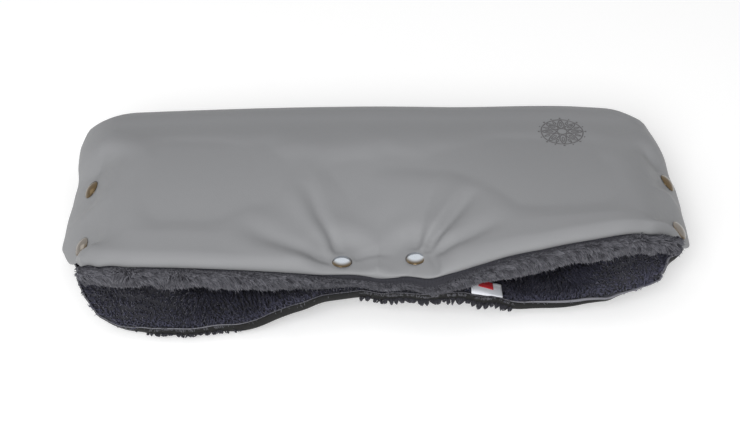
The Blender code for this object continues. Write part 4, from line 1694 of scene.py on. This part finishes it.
@dataclass
class FrontBorder:
    """Plush border along the flap's front edge, and the turned edge of the lower lip with a band of
    painted shadow below it.
    """

    shape: MuffShape
    finishes: Finishes
    depth: float = 0.013
    overhang: float = 0.0038
    hang: float = 0.007
    hang_share: float = 0.3
    top_drops: Pair = (0.0042, 0.001)
    core_half_depth: float = 0.005
    end_margin: float = 0.0015
    end_reach: float = 0.013
    spacing: float = 0.00128
    middle_x: float = 0.012
    first_angles: Pair = (math.radians(92), math.radians(48))
    last_angle: float = math.radians(306)
    lock_length: float = 0.0085
    lock_radius: float = 0.00062
    tag_x: float = 0.094
    tag_clearance: float = 0.38
    edge_half_depth: float = 0.0013
    edge_lap: float = 0.0011
    # Share of the lower lip's height that is turned edge; the rest is the band of painted shadow.
    edge_shares: Table = (
        (-0.284, 0.09), (-0.24, 0.13), (-0.14, 0.11), (-0.1, 0.04), (0.11, 0.04),
        (0.15, 0.2), (0.18, 0.32), (0.24, 0.32), (0.284, 0.12),
    )
    lip_side_depth: float = 0.085
    fringe_spacing: float = 0.0003
    tooth_length: float = 0.0068
    tooth_reach: float = 0.0058

    def roll_frame(self, across: Array) -> tuple[Array, Array]:
        """Middle and half height of the roll at places across.

        Args:
            across: Places across, from -1 to 1.

        Returns:
            The middle, and the way from it to the top.
        """
        shape = self.shape
        x = across * (shape.half_width - self.end_margin)
        y = np.full(x.shape, shape.front_y + self.end_margin)
        edge = np.minimum(shape.half_width - np.abs(x), self.end_margin)
        levels = shape.levels(x, y, edge)
        px, py = shape.plan(Half.UPPER, x, y)
        px = px + self.end_reach * np.sign(x) * ease(0.91, 1.0, np.abs(across))
        drop = mix(*self.top_drops, ease(0.035, 0.08, np.abs(x - self.middle_x)))
        top = shape.raised(Half.UPPER, px, py, levels["top"] - drop)
        base = shape.raised(Half.UPPER, px, py, np.full(x.shape, shape.layer_gap / 2))
        opening = shape.flap_height(x, y) - shape.lower_height(x, y)
        base[:, 2] -= np.minimum(self.hang, self.hang_share * opening)
        centre, half = (top + base) / 2, (top - base) / 2
        line = shape.front_y + shape.edge_run(Half.UPPER, x, np.full(x.shape, shape.front_y))
        centre[:, 1] = line + self.depth / 2 - self.overhang
        half[:, 1] = 0.0
        return centre, half

    def on_roll(self, across: Array, angle: Array, margin: Array | float) -> Array:
        """Points on the roll or at a margin inside it.

        Args:
            across: Places across, from -1 to 1.
            angle: Angles round the roll; 0 is at the back, a quarter turn on top.
            margin: Distance inside the surface.

        Returns:
            Points, one row each.
        """
        centre, half = self.roll_frame(across)
        height = np.linalg.norm(half, axis=1)
        half = half * ((height - margin) / height)[:, None]
        depth = self.depth / 2 - margin
        lumps = 1 + 0.05 * waves(across * 0.28, angle * 0.004, 0.05, 5)
        sideways = np.zeros_like(centre)
        sideways[:, 1] = depth * np.cos(angle) * lumps
        points = centre + sideways + half * (np.sin(angle) * lumps)[:, None]
        return self.shape.laid(Half.UPPER, points)

    def build_roll(self) -> Piece:
        """The stuffed core of the border, below its pile.

        Returns:
            The roll.
        """
        margin = self.depth / 2 - self.core_half_depth

        def section(across: Array, angle: Array) -> Array:
            """Points of the roll, which ends in a point."""
            taper = ease(1.0, 0.985, np.abs(across))
            return self.on_roll(across, angle, mix(self.depth / 2 - 0.0008, margin, taper))

        bm = lofted_ring(150, 14, section)
        obj = new_object("front_border_roll", bm, self.finishes.backing)
        soften(obj)
        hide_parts("upper_front_plush_roll")
        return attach(obj, Body.FLAP.value)

    def build_pile(self) -> Piece:
        """Pile of the border, combed down and forward in uneven waves, with painted shade under the
        leatherette's edge and on its underside.

        Returns:
            The pile.
        """
        rng = np.random.default_rng(37)
        length = 2 * self.shape.half_width
        columns, rows = round(length / self.spacing), 40
        u, v = jittered(rng, columns, rows)
        across = mix(-0.992, 0.992, u / columns)
        x = across * self.shape.half_width
        from_middle = np.abs(x - self.middle_x)
        first = mix(*self.first_angles, ease(0.03, 0.085, from_middle))
        angle = mix(first, self.last_angle, v / rows)
        count = len(across)
        margin = self.depth / 2 - self.core_half_depth + 0.0006
        roots = self.on_roll(across, angle, margin)
        out = unit(self.on_roll(across, angle, 0.0) - roots)
        out[:, 0] += 0.5 * np.sign(across) * ease(0.975, 0.992, np.abs(across))
        sweep = 0.85 + 0.75 * waves(x, angle * 0.012, 0.04, 3) + rng.normal(0, 0.22, count)
        comb = np.stack([sweep, np.full(count, -0.2), np.full(count, -0.42)], axis=-1)
        direction = unit(0.62 * out + comb * 0.75 + rng.normal(0, 0.1, (count, 3)))
        reach = self.lock_length * rng.uniform(0.8, 1.08, count)
        reach *= mix(0.26, 1.0, ease(math.radians(60), math.radians(125), angle))
        reach *= 1 + 0.6 * (rng.random(count) < 0.04)
        reach *= mix(0.56, 1.0, ease(0.035, 0.11, from_middle))
        reach *= 1 - self.tag_clearance * np.exp(-(((x - self.tag_x) / 0.012) ** 2))
        tuft = 0.5 + 0.5 * waves(x, 0 * x, 0.009, 15)
        below = ease(math.radians(200), math.radians(240), angle)
        reach *= mix(1.0, 0.55 + 0.75 * tuft, below)
        tips = clumped(roots + direction * reach[:, None], u, v, (6, 3), 0.45)
        bend = rng.normal(0, 0.0004, (count, 3)) + comb * [0.0006, 0.0, -0.001]
        tone = 0.45 + 0.2 * waves(x, angle * 0.012, 0.012, 8) + rng.normal(0, 0.13, count)
        # Painted shade: darker locks at the top, under the leatherette's edge.
        tone *= mix(0.45, 1.0, ease(math.radians(66), math.radians(125), angle))
        # Painted shade: darker locks on the underside of the roll.
        tone *= mix(1.0, 0.45, ease(math.radians(235), math.radians(290), angle))
        tone *= mix(0.72, 1.0, ease(0.03, 0.12, from_middle))
        radius = self.lock_radius * rng.uniform(0.7, 1.3, count)
        obj = grow_pile(
            "front_border_pile", roots, tips, bend, radius, np.clip(tone, 0, 1), self.finishes.pile
        )
        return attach(obj, Body.FLAP.value)

    def lip_path(self, side_depth: float) -> tuple[Array, Array]:
        """Places across and along on the lower half's edge, round both front corners.

        Args:
            side_depth: How far back the path starts and ends, from the front edge.

        Returns:
            The places in order from left to right.
        """
        shape = self.shape
        radius = shape.lower_front_corner
        turn = np.linspace(0, math.pi / 2, 15)
        sides = np.linspace(side_depth, radius, 12)[:-1]
        back = np.concatenate([sides, radius * (1 - np.sin(turn))])
        front = np.linspace(-1, 1, 240)[1:-1]
        across = np.concatenate([-np.ones(back.size), front, np.ones(back.size)])
        ahead = np.concatenate([back, np.zeros(front.size), back[::-1]])
        return across, 1 - ahead / shape.flap_depth

    def lip_frame(self, across: Array, along: Array) -> tuple[Array, Array, Array]:
        """Upper and lower corner of the lower half's edge, and the way out of it.

        Args:
            across: Places across, from -1 to 1.
            along: Places along, from 0 at the fold to 1.

        Returns:
            Upper points, lower points and directions.
        """
        shape = self.shape
        x, y = shape.developed(across, along)
        levels = shape.levels(x, y, np.zeros(x.shape))
        upper = shape.lower_points(across, along, np.full(x.shape, shape.layer_gap / 2))
        lower = shape.lower_points(across, along, levels["top"])
        tangent = unit(np.gradient(upper, axis=0) * [1.0, 1.0, 0.0])
        out = np.stack([tangent[:, 1], -tangent[:, 0], np.zeros(x.shape)], axis=-1)
        return upper, lower, out

    def build_lip_bar(self, name: str, upper_part: bool, half_depth: float, material: Material) -> Piece:
        """A smooth bar along the edge of the lower half.

        Args:
            name: Name of the piece.
            upper_part: True for the turned edge at the top, False for the dark band of painted shadow
                below it.
            half_depth: Half its thickness.
            material: Its finish.

        Returns:
            The bar.
        """
        across, along = self.lip_path(self.lip_side_depth)
        upper, lower, out = self.lip_frame(across, along)
        joint = mix(upper, lower, looked_up(self.edge_shares, upper[:, 0])[:, None])
        top, bottom = (upper, joint) if upper_part else (joint, lower)
        half = (top - bottom) / 2
        slim = np.minimum(half_depth, 0.9 * np.linalg.norm(half, axis=1))[:, None]
        centre = (top + bottom) / 2 + out * (slim - self.edge_lap)
        last = len(across) - 1

        def section(place: Array, angle: Array) -> Array:
            """Points of the bar, which is thinner at its two ends.

            Args:
                place: Places from -1 to 1.
                angle: Angles round the bar.

            Returns:
                Points, one row each.
            """
            i = np.rint((place + 1) / 2 * last).astype(int)
            taper = np.where((i == 0) | (i == last), 0.6, 1.0)[:, None]
            turned = out[i] * slim[i] * np.cos(angle)[:, None]
            return centre[i] + taper * (turned + half[i] * np.sin(angle)[:, None])

        obj = new_object(name, lofted_ring(last, 16, section), material)
        store_share(obj, "worn_share", np.full(len(obj.data.vertices), 0.6))
        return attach(obj, Body.LOWER.value)

    def fringe_locks(self, rng: np.random.Generator, teeth: bool) -> tuple[Array, ...]:
        """One kind of the locks along the lower lip.

        Args:
            rng: Source of their unevenness.
            teeth: True for the dark teeth of painted shadow below the lip, False for the pale tips of
                painted highlight over it.

        Returns:
            Roots, tips, bends, radii and tones.
        """
        upper, lower, out = self.lip_frame(*self.lip_path(0.1))
        steps = np.linalg.norm(np.diff(upper, axis=0), axis=1)
        walked = np.concatenate([[0.0], np.cumsum(steps)])
        count = round(walked[-1] / self.fringe_spacing)
        place = np.sort(rng.uniform(0, walked[-1], count))
        at = [np.interp(place, walked, column) for column in (*upper.T, *lower.T, *out.T)]
        upper, lower, out = (np.stack(at[i : i + 3], axis=-1) for i in (0, 3, 6))
        x = upper[:, 0]
        middle = ease(-0.026, 0.006, x) * ease(0.128, 0.108, x)
        left = ease(-0.225, -0.2, x) * ease(-0.12, -0.15, x)
        cell = place / self.tooth_length + 0.5 * waves(place, 0 * place, 0.03, 61)
        size = 0.35 + 0.65 * np.abs(np.sin(np.floor(cell) * 2.4 + 1.0))
        if teeth:
            # Painted shadow: near-black locks hanging below the lip, as the shade of the hair above.
            plenty = np.clip(middle + 0.35 * left, 0, 1)
            from_share, reach = (0.55, 0.95), self.tooth_reach * size * mix(0.45, 1.0, middle)
            heading, fray, drawn = out * 0.3 + unit(lower - upper), 0.1, 0.8
            tone = 0.03 + 0.05 * rng.random(count)
        else:
            # Painted highlight: pale locks of the lighter pile over the lip.
            plenty = np.clip(0.12 + 0.9 * ease(-0.13, -0.09, x) * middle + 0.5 * left, 0, 1)
            from_share, reach = (0.0, 0.12), 0.0034 * size
            heading, fray, drawn = out + 0.55 * unit(lower - upper), 0.45, 0.45
            tone = 0.34 + 0.12 * rng.random(count)
        kept = rng.random(count) < plenty
        share = rng.uniform(*from_share, (count, 1))
        roots = mix(upper, lower, share) + out * (self.edge_half_depth * (0.8 if teeth else -1.0))
        direction = unit(heading + rng.normal(0, fray, (count, 3)))
        tips = roots + direction * (reach * rng.uniform(0.75, 1.1, count) + 0.0012)[:, None]
        roots, tips, cell, tone = (part[kept] for part in (roots, tips, cell, tone))
        tips = clumped(tips, cell, np.zeros(len(cell)), (1, 1), drawn)
        bend = rng.normal(0, 0.0004, (len(roots), 3))
        radius = (0.0009 if teeth else 0.0005) * rng.uniform(0.7, 1.2, len(roots))
        return roots, tips, bend, radius, tone

    def build_fringe(self) -> Piece:
        """Locks of the lining over the lower lip, pale as painted highlight, and dark teeth of painted
        shadow below it in the middle.

        Returns:
            The fringe.
        """
        rng = np.random.default_rng(53)
        kinds = zip(self.fringe_locks(rng, False), self.fringe_locks(rng, True))
        roots, tips, bend, radius, tone = (np.concatenate(pair) for pair in kinds)
        obj = grow_pile("lower_lip_fringe", roots, tips, bend, radius, tone, self.finishes.pile)
        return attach(obj, Body.LOWER.value)

    def build(self) -> list[Piece]:
        """Roll, pile and lip.

        Returns:
            The five pieces.
        """
        finishes, thin = self.finishes, 0.8 * self.edge_half_depth
        edge = self.build_lip_bar("lower_lip_edge", True, self.edge_half_depth, finishes.edge)
        # The band below the turned edge is painted shadow: a near-black bar along the lip.
        band = self.build_lip_bar("lower_lip_painted_shadow", False, thin, finishes.band)
        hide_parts("lower_front_piping")
        return [self.build_roll(), self.build_pile(), edge, band, self.build_fringe()]


@dataclass
class Snaps:
    """Six sprung snaps, each a cap, a socket, a stud and an eyelet, turned finely."""

    shape: MuffShape
    finishes: Finishes
    steps: int = 64
    cap_radius: float = 0.0095
    cap_height: float = 0.0036
    cap_rim: float = 0.0007
    cap_tilts: tuple[tuple[str, float], ...] = (("centre_left", 0.28), ("centre_right", 0.22))
    cap_sink: float = 0.0008
    level_share: float = 0.7
    # Least share of painted reflection on each row of side caps; the rear ones take it all over.
    reflection_floor: tuple[tuple[str, float], ...] = (("rear", 1.0), ("front", 0.82))
    post_radius: float = 0.0015
    head_radius: float = 0.0019
    head_thickness: float = 0.0004
    socket_radius: float = 0.007
    socket_bore: float = 0.0052
    socket_height: float = 0.0035
    groove: Triple = (0.0061, 0.0005, 0.0009)
    roof: float = 0.0005
    clearance: float = 0.0003
    edge: float = 0.0005
    small_edge: float = 0.0003
    bore_edge: float = 0.0002
    flange: Pair = (0.0065, 0.0009)
    neck: Pair = (0.0026, 0.0013)
    bulb: Pair = (0.0031, 0.0017)
    crown: Pair = (0.0019, 0.0022)
    wall: float = 0.0005
    eyelet: Pair = (0.0062, 0.0011)

    def seat(self) -> float:
        """Top of the pressed cover above the parting face, with the cap's clearance."""
        x, y = self.shape.snap_places["centre_left"]
        return float(self.shape.levels(x, y, self.shape.centre_snap[1])["top"]) + self.clearance

    def cap_profile(self) -> list[Pair]:
        """Domed cap with a rolled rim, and its post.

        Returns:
            Radius and height of each corner.
        """
        seat, radius, rim = self.seat(), self.cap_radius, self.cap_rim
        rise = self.cap_height - rim
        dome = (radius**2 + rise**2) / (2 * rise)
        spread = math.asin((radius - 0.6 * rim) / dome)
        top = seat + self.cap_height
        arc = [
            (dome * math.sin(spread * i / 12), top - dome * (1 - math.cos(spread * i / 12)))
            for i in range(13)
        ]
        half = rim / 2
        lip = [
            (radius - half + half * math.cos(a), seat + half + half * math.sin(a))
            for a in (math.radians(60 - 25 * i) for i in range(7))
        ]
        under = self.layer_gap_floor() + self.socket_height - self.roof - self.clearance / 2
        return (
            arc + lip + [(radius - rim, seat), (self.post_radius, seat), (self.post_radius, under)]
            + [(self.head_radius, under), (self.head_radius, under - self.head_thickness)]
            + [(0.0, under - self.head_thickness)]
        )

    def layer_gap_floor(self) -> float:
        """Where the socket starts above the parting face."""
        return self.shape.layer_gap / 2

    def socket_profile(self) -> list[Pair]:
        """Socket with its bore and the groove of the spring.

        Returns:
            Radius and height of each corner.
        """
        low = self.layer_gap_floor()
        top, edge = low + self.socket_height, self.edge
        groove_radius, lip, height = self.groove
        hole = self.post_radius + self.clearance / 2
        roof = top - self.roof
        return [
            (hole, top), (self.socket_radius - edge, top), (self.socket_radius, top - edge),
            (self.socket_radius, low + edge), (self.socket_radius - edge, low),
            (self.socket_bore + self.bore_edge, low), (self.socket_bore, low + self.bore_edge),
            (self.socket_bore, low + lip), (groove_radius, low + lip),
            (groove_radius, low + lip + height), (self.socket_bore, low + lip + height),
            (self.socket_bore, roof), (hole, roof), (hole, top),
        ]

    def stud_profile(self) -> list[Pair]:
        """Hollow stud: flange, neck and bulb.

        Returns:
            Radius and height of each corner.
        """
        top, edge = -self.layer_gap_floor(), self.small_edge
        (flange, thickness), neck, bulb, crown = self.flange, self.neck, self.bulb, self.crown
        hole, bottom = self.post_radius + self.clearance / 2, top - thickness
        hollow, roof = neck[0] - self.wall, crown[1] - self.wall
        return [
            (0.0, crown[1]), crown, (mix(crown[0], bulb[0], 0.75), mix(crown[1], bulb[1], 0.4)),
            bulb, (mix(bulb[0], neck[0], 0.4), mix(bulb[1], neck[1], 0.75)), neck,
            (neck[0], top + self.bore_edge), (neck[0] + edge, top), (flange - edge, top),
            (flange, top - edge), (flange, bottom), (hole, bottom), (hole, top), (hollow, top),
            (hollow, roof), (0.0, roof),
        ]

    def eyelet_profile(self) -> list[Pair]:
        """Flange under the lower half, and its post up to the stud.

        Returns:
            Radius and height of each corner.
        """
        seat = -self.seat()
        bottom, edge = seat - self.eyelet[1], self.eyelet[1] / 2
        head = self.clearance / 2
        return [
            (0.0, head + self.head_thickness), (self.head_radius, head + self.head_thickness),
            (self.head_radius, head), (self.post_radius, head), (self.post_radius, seat),
            (self.eyelet[0] - edge, seat), (self.eyelet[0], seat - edge),
            (self.eyelet[0] - 0.3 * edge, bottom + 0.3 * edge), (self.eyelet[0] - edge, bottom),
            (0.0, bottom),
        ]

    def turned(self, profile: list[Pair], place: Matrix) -> Mesh:
        """Turns a profile round the snap's axis and puts it in place.

        Args:
            profile: Radius and height of each corner.
            place: Frame of the piece.

        Returns:
            The mesh.
        """
        bm = bmesh.new()
        verts = [bm.verts.new((r, 0.0, z)) for r, z in profile]
        for a, b in zip(verts[:-1], verts[1:]):
            bm.edges.new((a, b))
        bmesh.ops.spin(
            bm, geom=bm.verts[:] + bm.edges[:], cent=(0, 0, 0), axis=(0, 0, 1),
            angle=math.tau, steps=self.steps, use_merge=True,
        )
        bmesh.ops.remove_doubles(bm, verts=bm.verts, dist=1e-6)
        bmesh.ops.recalc_face_normals(bm, faces=bm.faces)
        bmesh.ops.transform(bm, matrix=place, verts=bm.verts)
        return bm

    def frame_at(self, x: float, y: float) -> Matrix:
        """Frame of a snap: its origin on the parting face, +Z out through the cap.

        Args:
            x: Place across.
            y: Place along.

        Returns:
            The frame.
        """
        ends = self.shape.raised(Half.UPPER, np.full(2, x), np.full(2, y), np.array([0.0, 1.0]))
        origin = Vector(ends[0])
        up = (Vector(ends[1]) - origin).normalized()
        across = Vector((0.0, 1.0, 0.0)).cross(up).normalized()
        turn = Matrix((across, up.cross(across), up)).transposed().to_4x4()
        return Matrix.Translation(origin) @ turn

    def painted_reflection_share(self, obj: Piece, matrix: Matrix, reflection_floor: float) -> Array:
        """How far each point of a cap takes the painted reflection, a ring near its rim that is wider and
        stronger at the front.

        Args:
            obj: The cap.
            matrix: Frame of the snap.
            reflection_floor: Least share, for a cap that takes the painted reflection all over.

        Returns:
            Shares from 0 to 1.
        """
        inverse = matrix.inverted()
        local = np.array([inverse @ v.co for v in obj.data.vertices])
        away = np.hypot(local[:, 0], local[:, 1]) / self.cap_radius
        # Painted reflection: the tinted ring starts further in and is stronger on the side towards the
        # front.
        front = ease(0.2, -0.7, local[:, 1] / self.cap_radius)
        ring = ease(mix(0.66, 0.48, front), 0.94, away) * mix(0.8, 1.0, front)
        return np.maximum(ring, reflection_floor)

    def build(self) -> list[Piece]:
        """All snaps, each metal piece on the half that it is riveted to.

        Returns:
            The pieces.
        """
        made = []
        kinds = (
            ("cap", self.cap_profile(), Body.FLAP), ("socket", self.socket_profile(), Body.FLAP),
            ("stud", self.stud_profile(), Body.LOWER), ("eyelet", self.eyelet_profile(), Body.LOWER),
        )
        tilts, reflection_floors = dict(self.cap_tilts), dict(self.reflection_floor)
        for place, (x, y) in self.shape.snap_places.items():
            upright = self.frame_at(x, y)
            for kind, profile, body in kinds:
                matrix = upright
                if kind == "cap" and place in tilts:
                    level = self.level_share * math.atan2(upright[2][0], upright[2][2])
                    turn = Matrix.Rotation(level, 4, "Y")
                    turn = turn @ Matrix.Rotation(-tilts[place], 4, "X")
                    matrix = upright @ Matrix.Translation((0, 0, -self.cap_sink)) @ turn
                bm = self.turned(profile, matrix)
                obj = new_object(f"fine_{kind}_{place}", bm, self.finishes.nickel)
                obj.data.set_sharp_from_angle(angle=math.radians(38))
                if kind == "cap":
                    reflection_floor = reflection_floors.get(place.split("_")[1], 0.0)
                    store_share(obj, "painted_reflection_share", self.painted_reflection_share(obj, matrix, reflection_floor))
                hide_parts(f"{kind}_{place}")
                made.append(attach(obj, body.value))
            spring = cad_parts[f"spring_{place}"]
            for held in spring.material_slots:
                held.material = self.finishes.bronze
        return made


@dataclass
class Rosette:
    """Printed round ornament on the right of the flap: petals, rings and dots."""

    cover: Piece
    finishes: Finishes
    centre: Pair = (0.1775, 0.0552)
    radius: float = 0.0235
    line: float = 0.0011
    lift: float = 0.00025
    petals: int = 8

    def ribbon(self, bm: Mesh, path: Callable[[float], Pair], steps: int, width: float) -> None:
        """Adds a closed flat line.

        Args:
            bm: Mesh to add to.
            path: Gives the point of the line at a share from 0 to 1.
            steps: Segments of the line.
            width: Width of the line.
        """
        piece = bmesh.new()
        bmesh.ops.create_grid(piece, x_segments=steps, y_segments=1, size=1.0)
        for vert in piece.verts:
            share = (vert.co.x + 1) / 2
            here = Vector(path(share))
            ahead, behind = Vector(path(share + 0.002)), Vector(path(share - 0.002))
            tangent = (ahead - behind).normalized()
            offset = Vector((-tangent.y, tangent.x)) * vert.co.y * width / 2
            vert.co = (*(here + offset), 0.0)
        bmesh.ops.remove_doubles(piece, verts=piece.verts, dist=1e-6)
        add_mesh(bm, piece)

    def ring(self, radius: float) -> Callable[[float], Pair]:
        """A circle as a path."""
        return lambda t: (radius * math.cos(math.tau * t), radius * math.sin(math.tau * t))

    def petal(self, turn: float, inner: float, outer: float, half: float) -> Callable[[float], Pair]:
        """A pointed petal as a path.

        Args:
            turn: Angle that it points to.
            inner: Radius where it starts and ends.
            outer: Radius of its tip.
            half: Half its width.

        Returns:
            The path.
        """

        def path(t: float) -> Pair:
            """The point at a share of the way, from the inner radius to the tip and back.

            Args:
                t: Share of the way.

            Returns:
                The point.
            """
            angle = math.tau * t
            along = mix(inner, outer, (1 - math.cos(angle)) / 2)
            aside = half * math.sin(angle) * (0.75 + 0.25 * math.cos(angle))
            c, s = math.cos(turn), math.sin(turn)
            return along * c - aside * s, along * s + aside * c

        return path

    def build(self) -> Piece:
        """The ornament, laid on the cover.

        Returns:
            The ornament.
        """
        bm, r, thin = bmesh.new(), self.radius, 0.8 * self.line
        for radius in (0.2 * r, 0.86 * r):
            self.ribbon(bm, self.ring(radius), 72, self.line)
        for i in range(self.petals):
            turn, between = (math.tau * (i + j) / self.petals for j in (0, 0.5))
            self.ribbon(bm, self.petal(turn, 0.24 * r, 0.82 * r, 0.165 * r), 40, self.line)
            self.ribbon(bm, self.petal(turn, 0.38 * r, 0.68 * r, 0.06 * r), 24, thin)
            self.ribbon(bm, self.petal(between, 0.56 * r, 0.8 * r, 0.055 * r), 20, thin)
            for place, share in ((turn, 0.042), (between, 0.0308)):
                spot = Vector((math.cos(place), math.sin(place), 0)) * 0.96 * r
                bmesh.ops.create_circle(
                    bm, cap_ends=True, segments=12, radius=share * r, matrix=Matrix.Translation(spot)
                )
        self.lay(bm)
        obj = new_object("flap_ornament", bm, self.finishes.ink)
        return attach(obj, Body.FLAP.value)

    def lay(self, bm: Mesh) -> None:
        """Lays the flat ornament on the cover and gives it a thin body.

        Args:
            bm: The ornament, flat round its centre.
        """
        view = self.cover.evaluated_get(bpy.context.evaluated_depsgraph_get())
        surface = BVHTree.FromObject(view, bpy.context.evaluated_depsgraph_get())
        bmesh.ops.solidify(bm, geom=bm.faces[:], thickness=self.lift)
        for vert in bm.verts:
            x, y = self.centre[0] + vert.co.x, self.centre[1] + vert.co.y
            hit, normal, _, _ = surface.ray_cast(Vector((x, y, 0.3)), Vector((0, 0, -1)))
            raised = self.lift if abs(vert.co.z) < self.lift / 2 else -self.lift
            vert.co = hit + normal * raised
        bmesh.ops.recalc_face_normals(bm, faces=bm.faces)


@dataclass
class CareLabel:
    """Small satin tag at the lower lip, bare but for a plain red block."""

    shape: MuffShape
    finishes: Finishes
    thickness: float = 0.0005
    lift: float = 0.0016
    shift: Triple = (-0.003, -0.0052, -0.0005)
    turn: float = 0.0065
    left_rise: float = 0.0012
    margin: float = 0.0006
    block: tuple[float, ...] = (0.0075, 0.0215, 0.0078, 0.017)
    block_lift: float = 0.0003

    def build(self) -> list[Piece]:
        """The tag and its red block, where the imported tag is.

        Returns:
            The two pieces.
        """
        low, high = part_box("care_label")
        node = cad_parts["care_label"]
        surface = BVHTree.FromPolygons(
            [v.co for v in node.data.vertices], [tuple(p.vertices) for p in node.data.polygons]
        )
        middle = (np.array([(a + b) / 2]) for a, b in zip(low[:2], high[:2]))
        move = Vector(self.shape.trimmed(Half.LOWER, *middle)[0]) + Vector(self.shift)

        def laid(x: float, y: float, lift: float) -> Vector:
            """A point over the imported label, moved with the lip.

            Args:
                x: Place across.
                y: Place along.
                lift: Height over the tag.

            Returns:
                The point.
            """
            hit = surface.ray_cast(Vector((x, y, 0.3)), Vector((0, 0, -1)))[0]
            if hit is None:
                hit = surface.find_nearest(Vector((x, y, (low[2] + high[2]) / 2)))[0]
            return Vector((x, y, hit.z + lift + self.lift)) + move

        def patch(name: str, box: tuple[float, ...], lift: float, finish: Material) -> Piece:
            """A thin piece of cloth.

            Args:
                name: Name of the piece.
                box: Its first and last place along X, then along Y.
                lift: Height of its top above the tag's.
                finish: Its finish.

            Returns:
                The piece.
            """
            bm = bmesh.new()
            bmesh.ops.create_grid(bm, x_segments=16, y_segments=10, size=1.0)
            bmesh.ops.solidify(bm, geom=bm.faces[:], thickness=self.thickness)
            for vert in bm.verts:
                x = mix(box[0], box[1], (vert.co.x + 1) / 2)
                y = mix(box[2], box[3], (vert.co.y + 1) / 2)
                raised = lift if abs(vert.co.z) < self.thickness / 2 else lift - self.thickness
                left = (high[0] - x) / (high[0] - low[0])
                turn = Vector((0.0, -self.turn * left * (high[1] - y) / (high[1] - low[1]), 0.0))
                vert.co = laid(x, y, raised + self.left_rise * left) + turn
            bmesh.ops.recalc_face_normals(bm, faces=bm.faces)
            obj = new_object(name, bm, finish)
            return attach(obj, Body.LOWER.value)

        left, right, front, back = low[0], high[0], low[1], high[1]
        box = (left + self.margin, right - self.margin, front + self.margin, back - self.margin)
        tag = patch("care_tag", box, 0.0, self.finishes.satin)
        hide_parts("care_label")
        red = tuple(a + b for a, b in zip((left, left, front, front), self.block))
        return [tag, patch("care_tag_block", red, self.block_lift, self.finishes.red)]


@dataclass
class Studio:
    """Pale floor, soft lamps and the camera."""

    elevation: float = math.radians(43.0)
    distance: float = 1.325
    target: Triple = (0.0, 0.005, 0.045)
    lens: float = 66.7
    shift: Pair = (-0.012, -0.0253)
    sky_axis: Triple = (0.0, -0.62, 0.78)
    world_light: tuple[float, ...] = (-0.15, 0.95, 0.12, 0.9)

    def build(self) -> None:
        """Everything round the muff."""
        bm = bmesh.new()
        bmesh.ops.create_grid(bm, x_segments=1, y_segments=1, size=6.0)
        bmesh.ops.translate(bm, verts=bm.verts, vec=(0, 0, -0.0004))
        new_object("floor", bm, PaleFloor().material())
        self.lamp("softbox_over_front", (-0.35, -1.45, 1.35), 0.9, 24.0)
        self.lamp("softbox_left", (-1.9, 0.3, 0.9), 0.8, 1.5)
        self.light_world()
        self.aim_camera()

    def lamp(self, name: str, place: Triple, size: float, power: float) -> None:
        """Adds a square softbox that faces the muff.

        Args:
            name: Name of the lamp.
            place: Where it stands.
            size: Its width.
            power: Its strength in watts.
        """
        data = bpy.data.lights.new(name, "AREA")
        data.size, data.energy = size, power
        obj = bpy.data.objects.new(name, data)
        obj.location = place
        facing = Vector(self.target) - Vector(place)
        obj.rotation_euler = facing.to_track_quat("-Z", "Y").to_euler()
        bpy.context.scene.collection.objects.link(obj)

    def light_world(self) -> None:
        """Even light from all round; seen directly or mirrored it is white."""
        t = NodeTree("white_room", world=True)
        place = t.node("ShaderNodeTexCoord").outputs["Generated"]
        facing = t.node("ShaderNodeVectorMath", {0: place, 1: self.sky_axis}, operation="DOT_PRODUCT")
        limits = dict(zip(("From Min", "From Max", "To Min", "To Max"), self.world_light))
        sky = t.node("ShaderNodeMapRange", {"Value": facing.outputs["Value"], **limits})
        strength = t.node("ShaderNodeMix", {0: t.seen(), 2: sky.outputs["Result"], 3: 1.0})
        bpy.context.scene.world = t.dress(Color=(1.0, 1.0, 1.0), Strength=strength.outputs[0])

    def aim_camera(self) -> None:
        """The camera of the photograph."""
        data = bpy.data.cameras.new("camera")
        data.lens, data.sensor_width = self.lens, 36.0
        data.shift_x, data.shift_y = self.shift
        obj = bpy.data.objects.new("camera", data)
        back = Vector((0.0, -math.cos(self.elevation), math.sin(self.elevation)))
        obj.location = Vector(self.target) + back * self.distance
        obj.rotation_euler = (-back).to_track_quat("-Z", "Y").to_euler()
        bpy.context.scene.collection.objects.link(obj)
        bpy.context.scene.camera = obj


def main() -> None:
    """Builds the muff piece by piece, then the studio."""
    logging.basicConfig(level=logging.INFO, format="%(name)s: %(message)s")
    bpy.context.scene.view_settings.view_transform = "Standard"
    shape, finishes = MuffShape(), Finishes()
    cover = Cover(shape, finishes)
    flap = cover.build_flap()
    made = [flap, cover.build_lower()]
    made += Lining(shape, finishes).build()
    made += FrontBorder(shape, finishes).build()
    made += Snaps(shape, finishes).build()
    made.append(Rosette(flap, finishes).build())
    made += CareLabel(shape, finishes).build()
    Studio().build()
    for piece in made:
        log.info("%s: %d points", piece.name, len(piece.data.vertices))


if __name__ == "__main__":
    main()
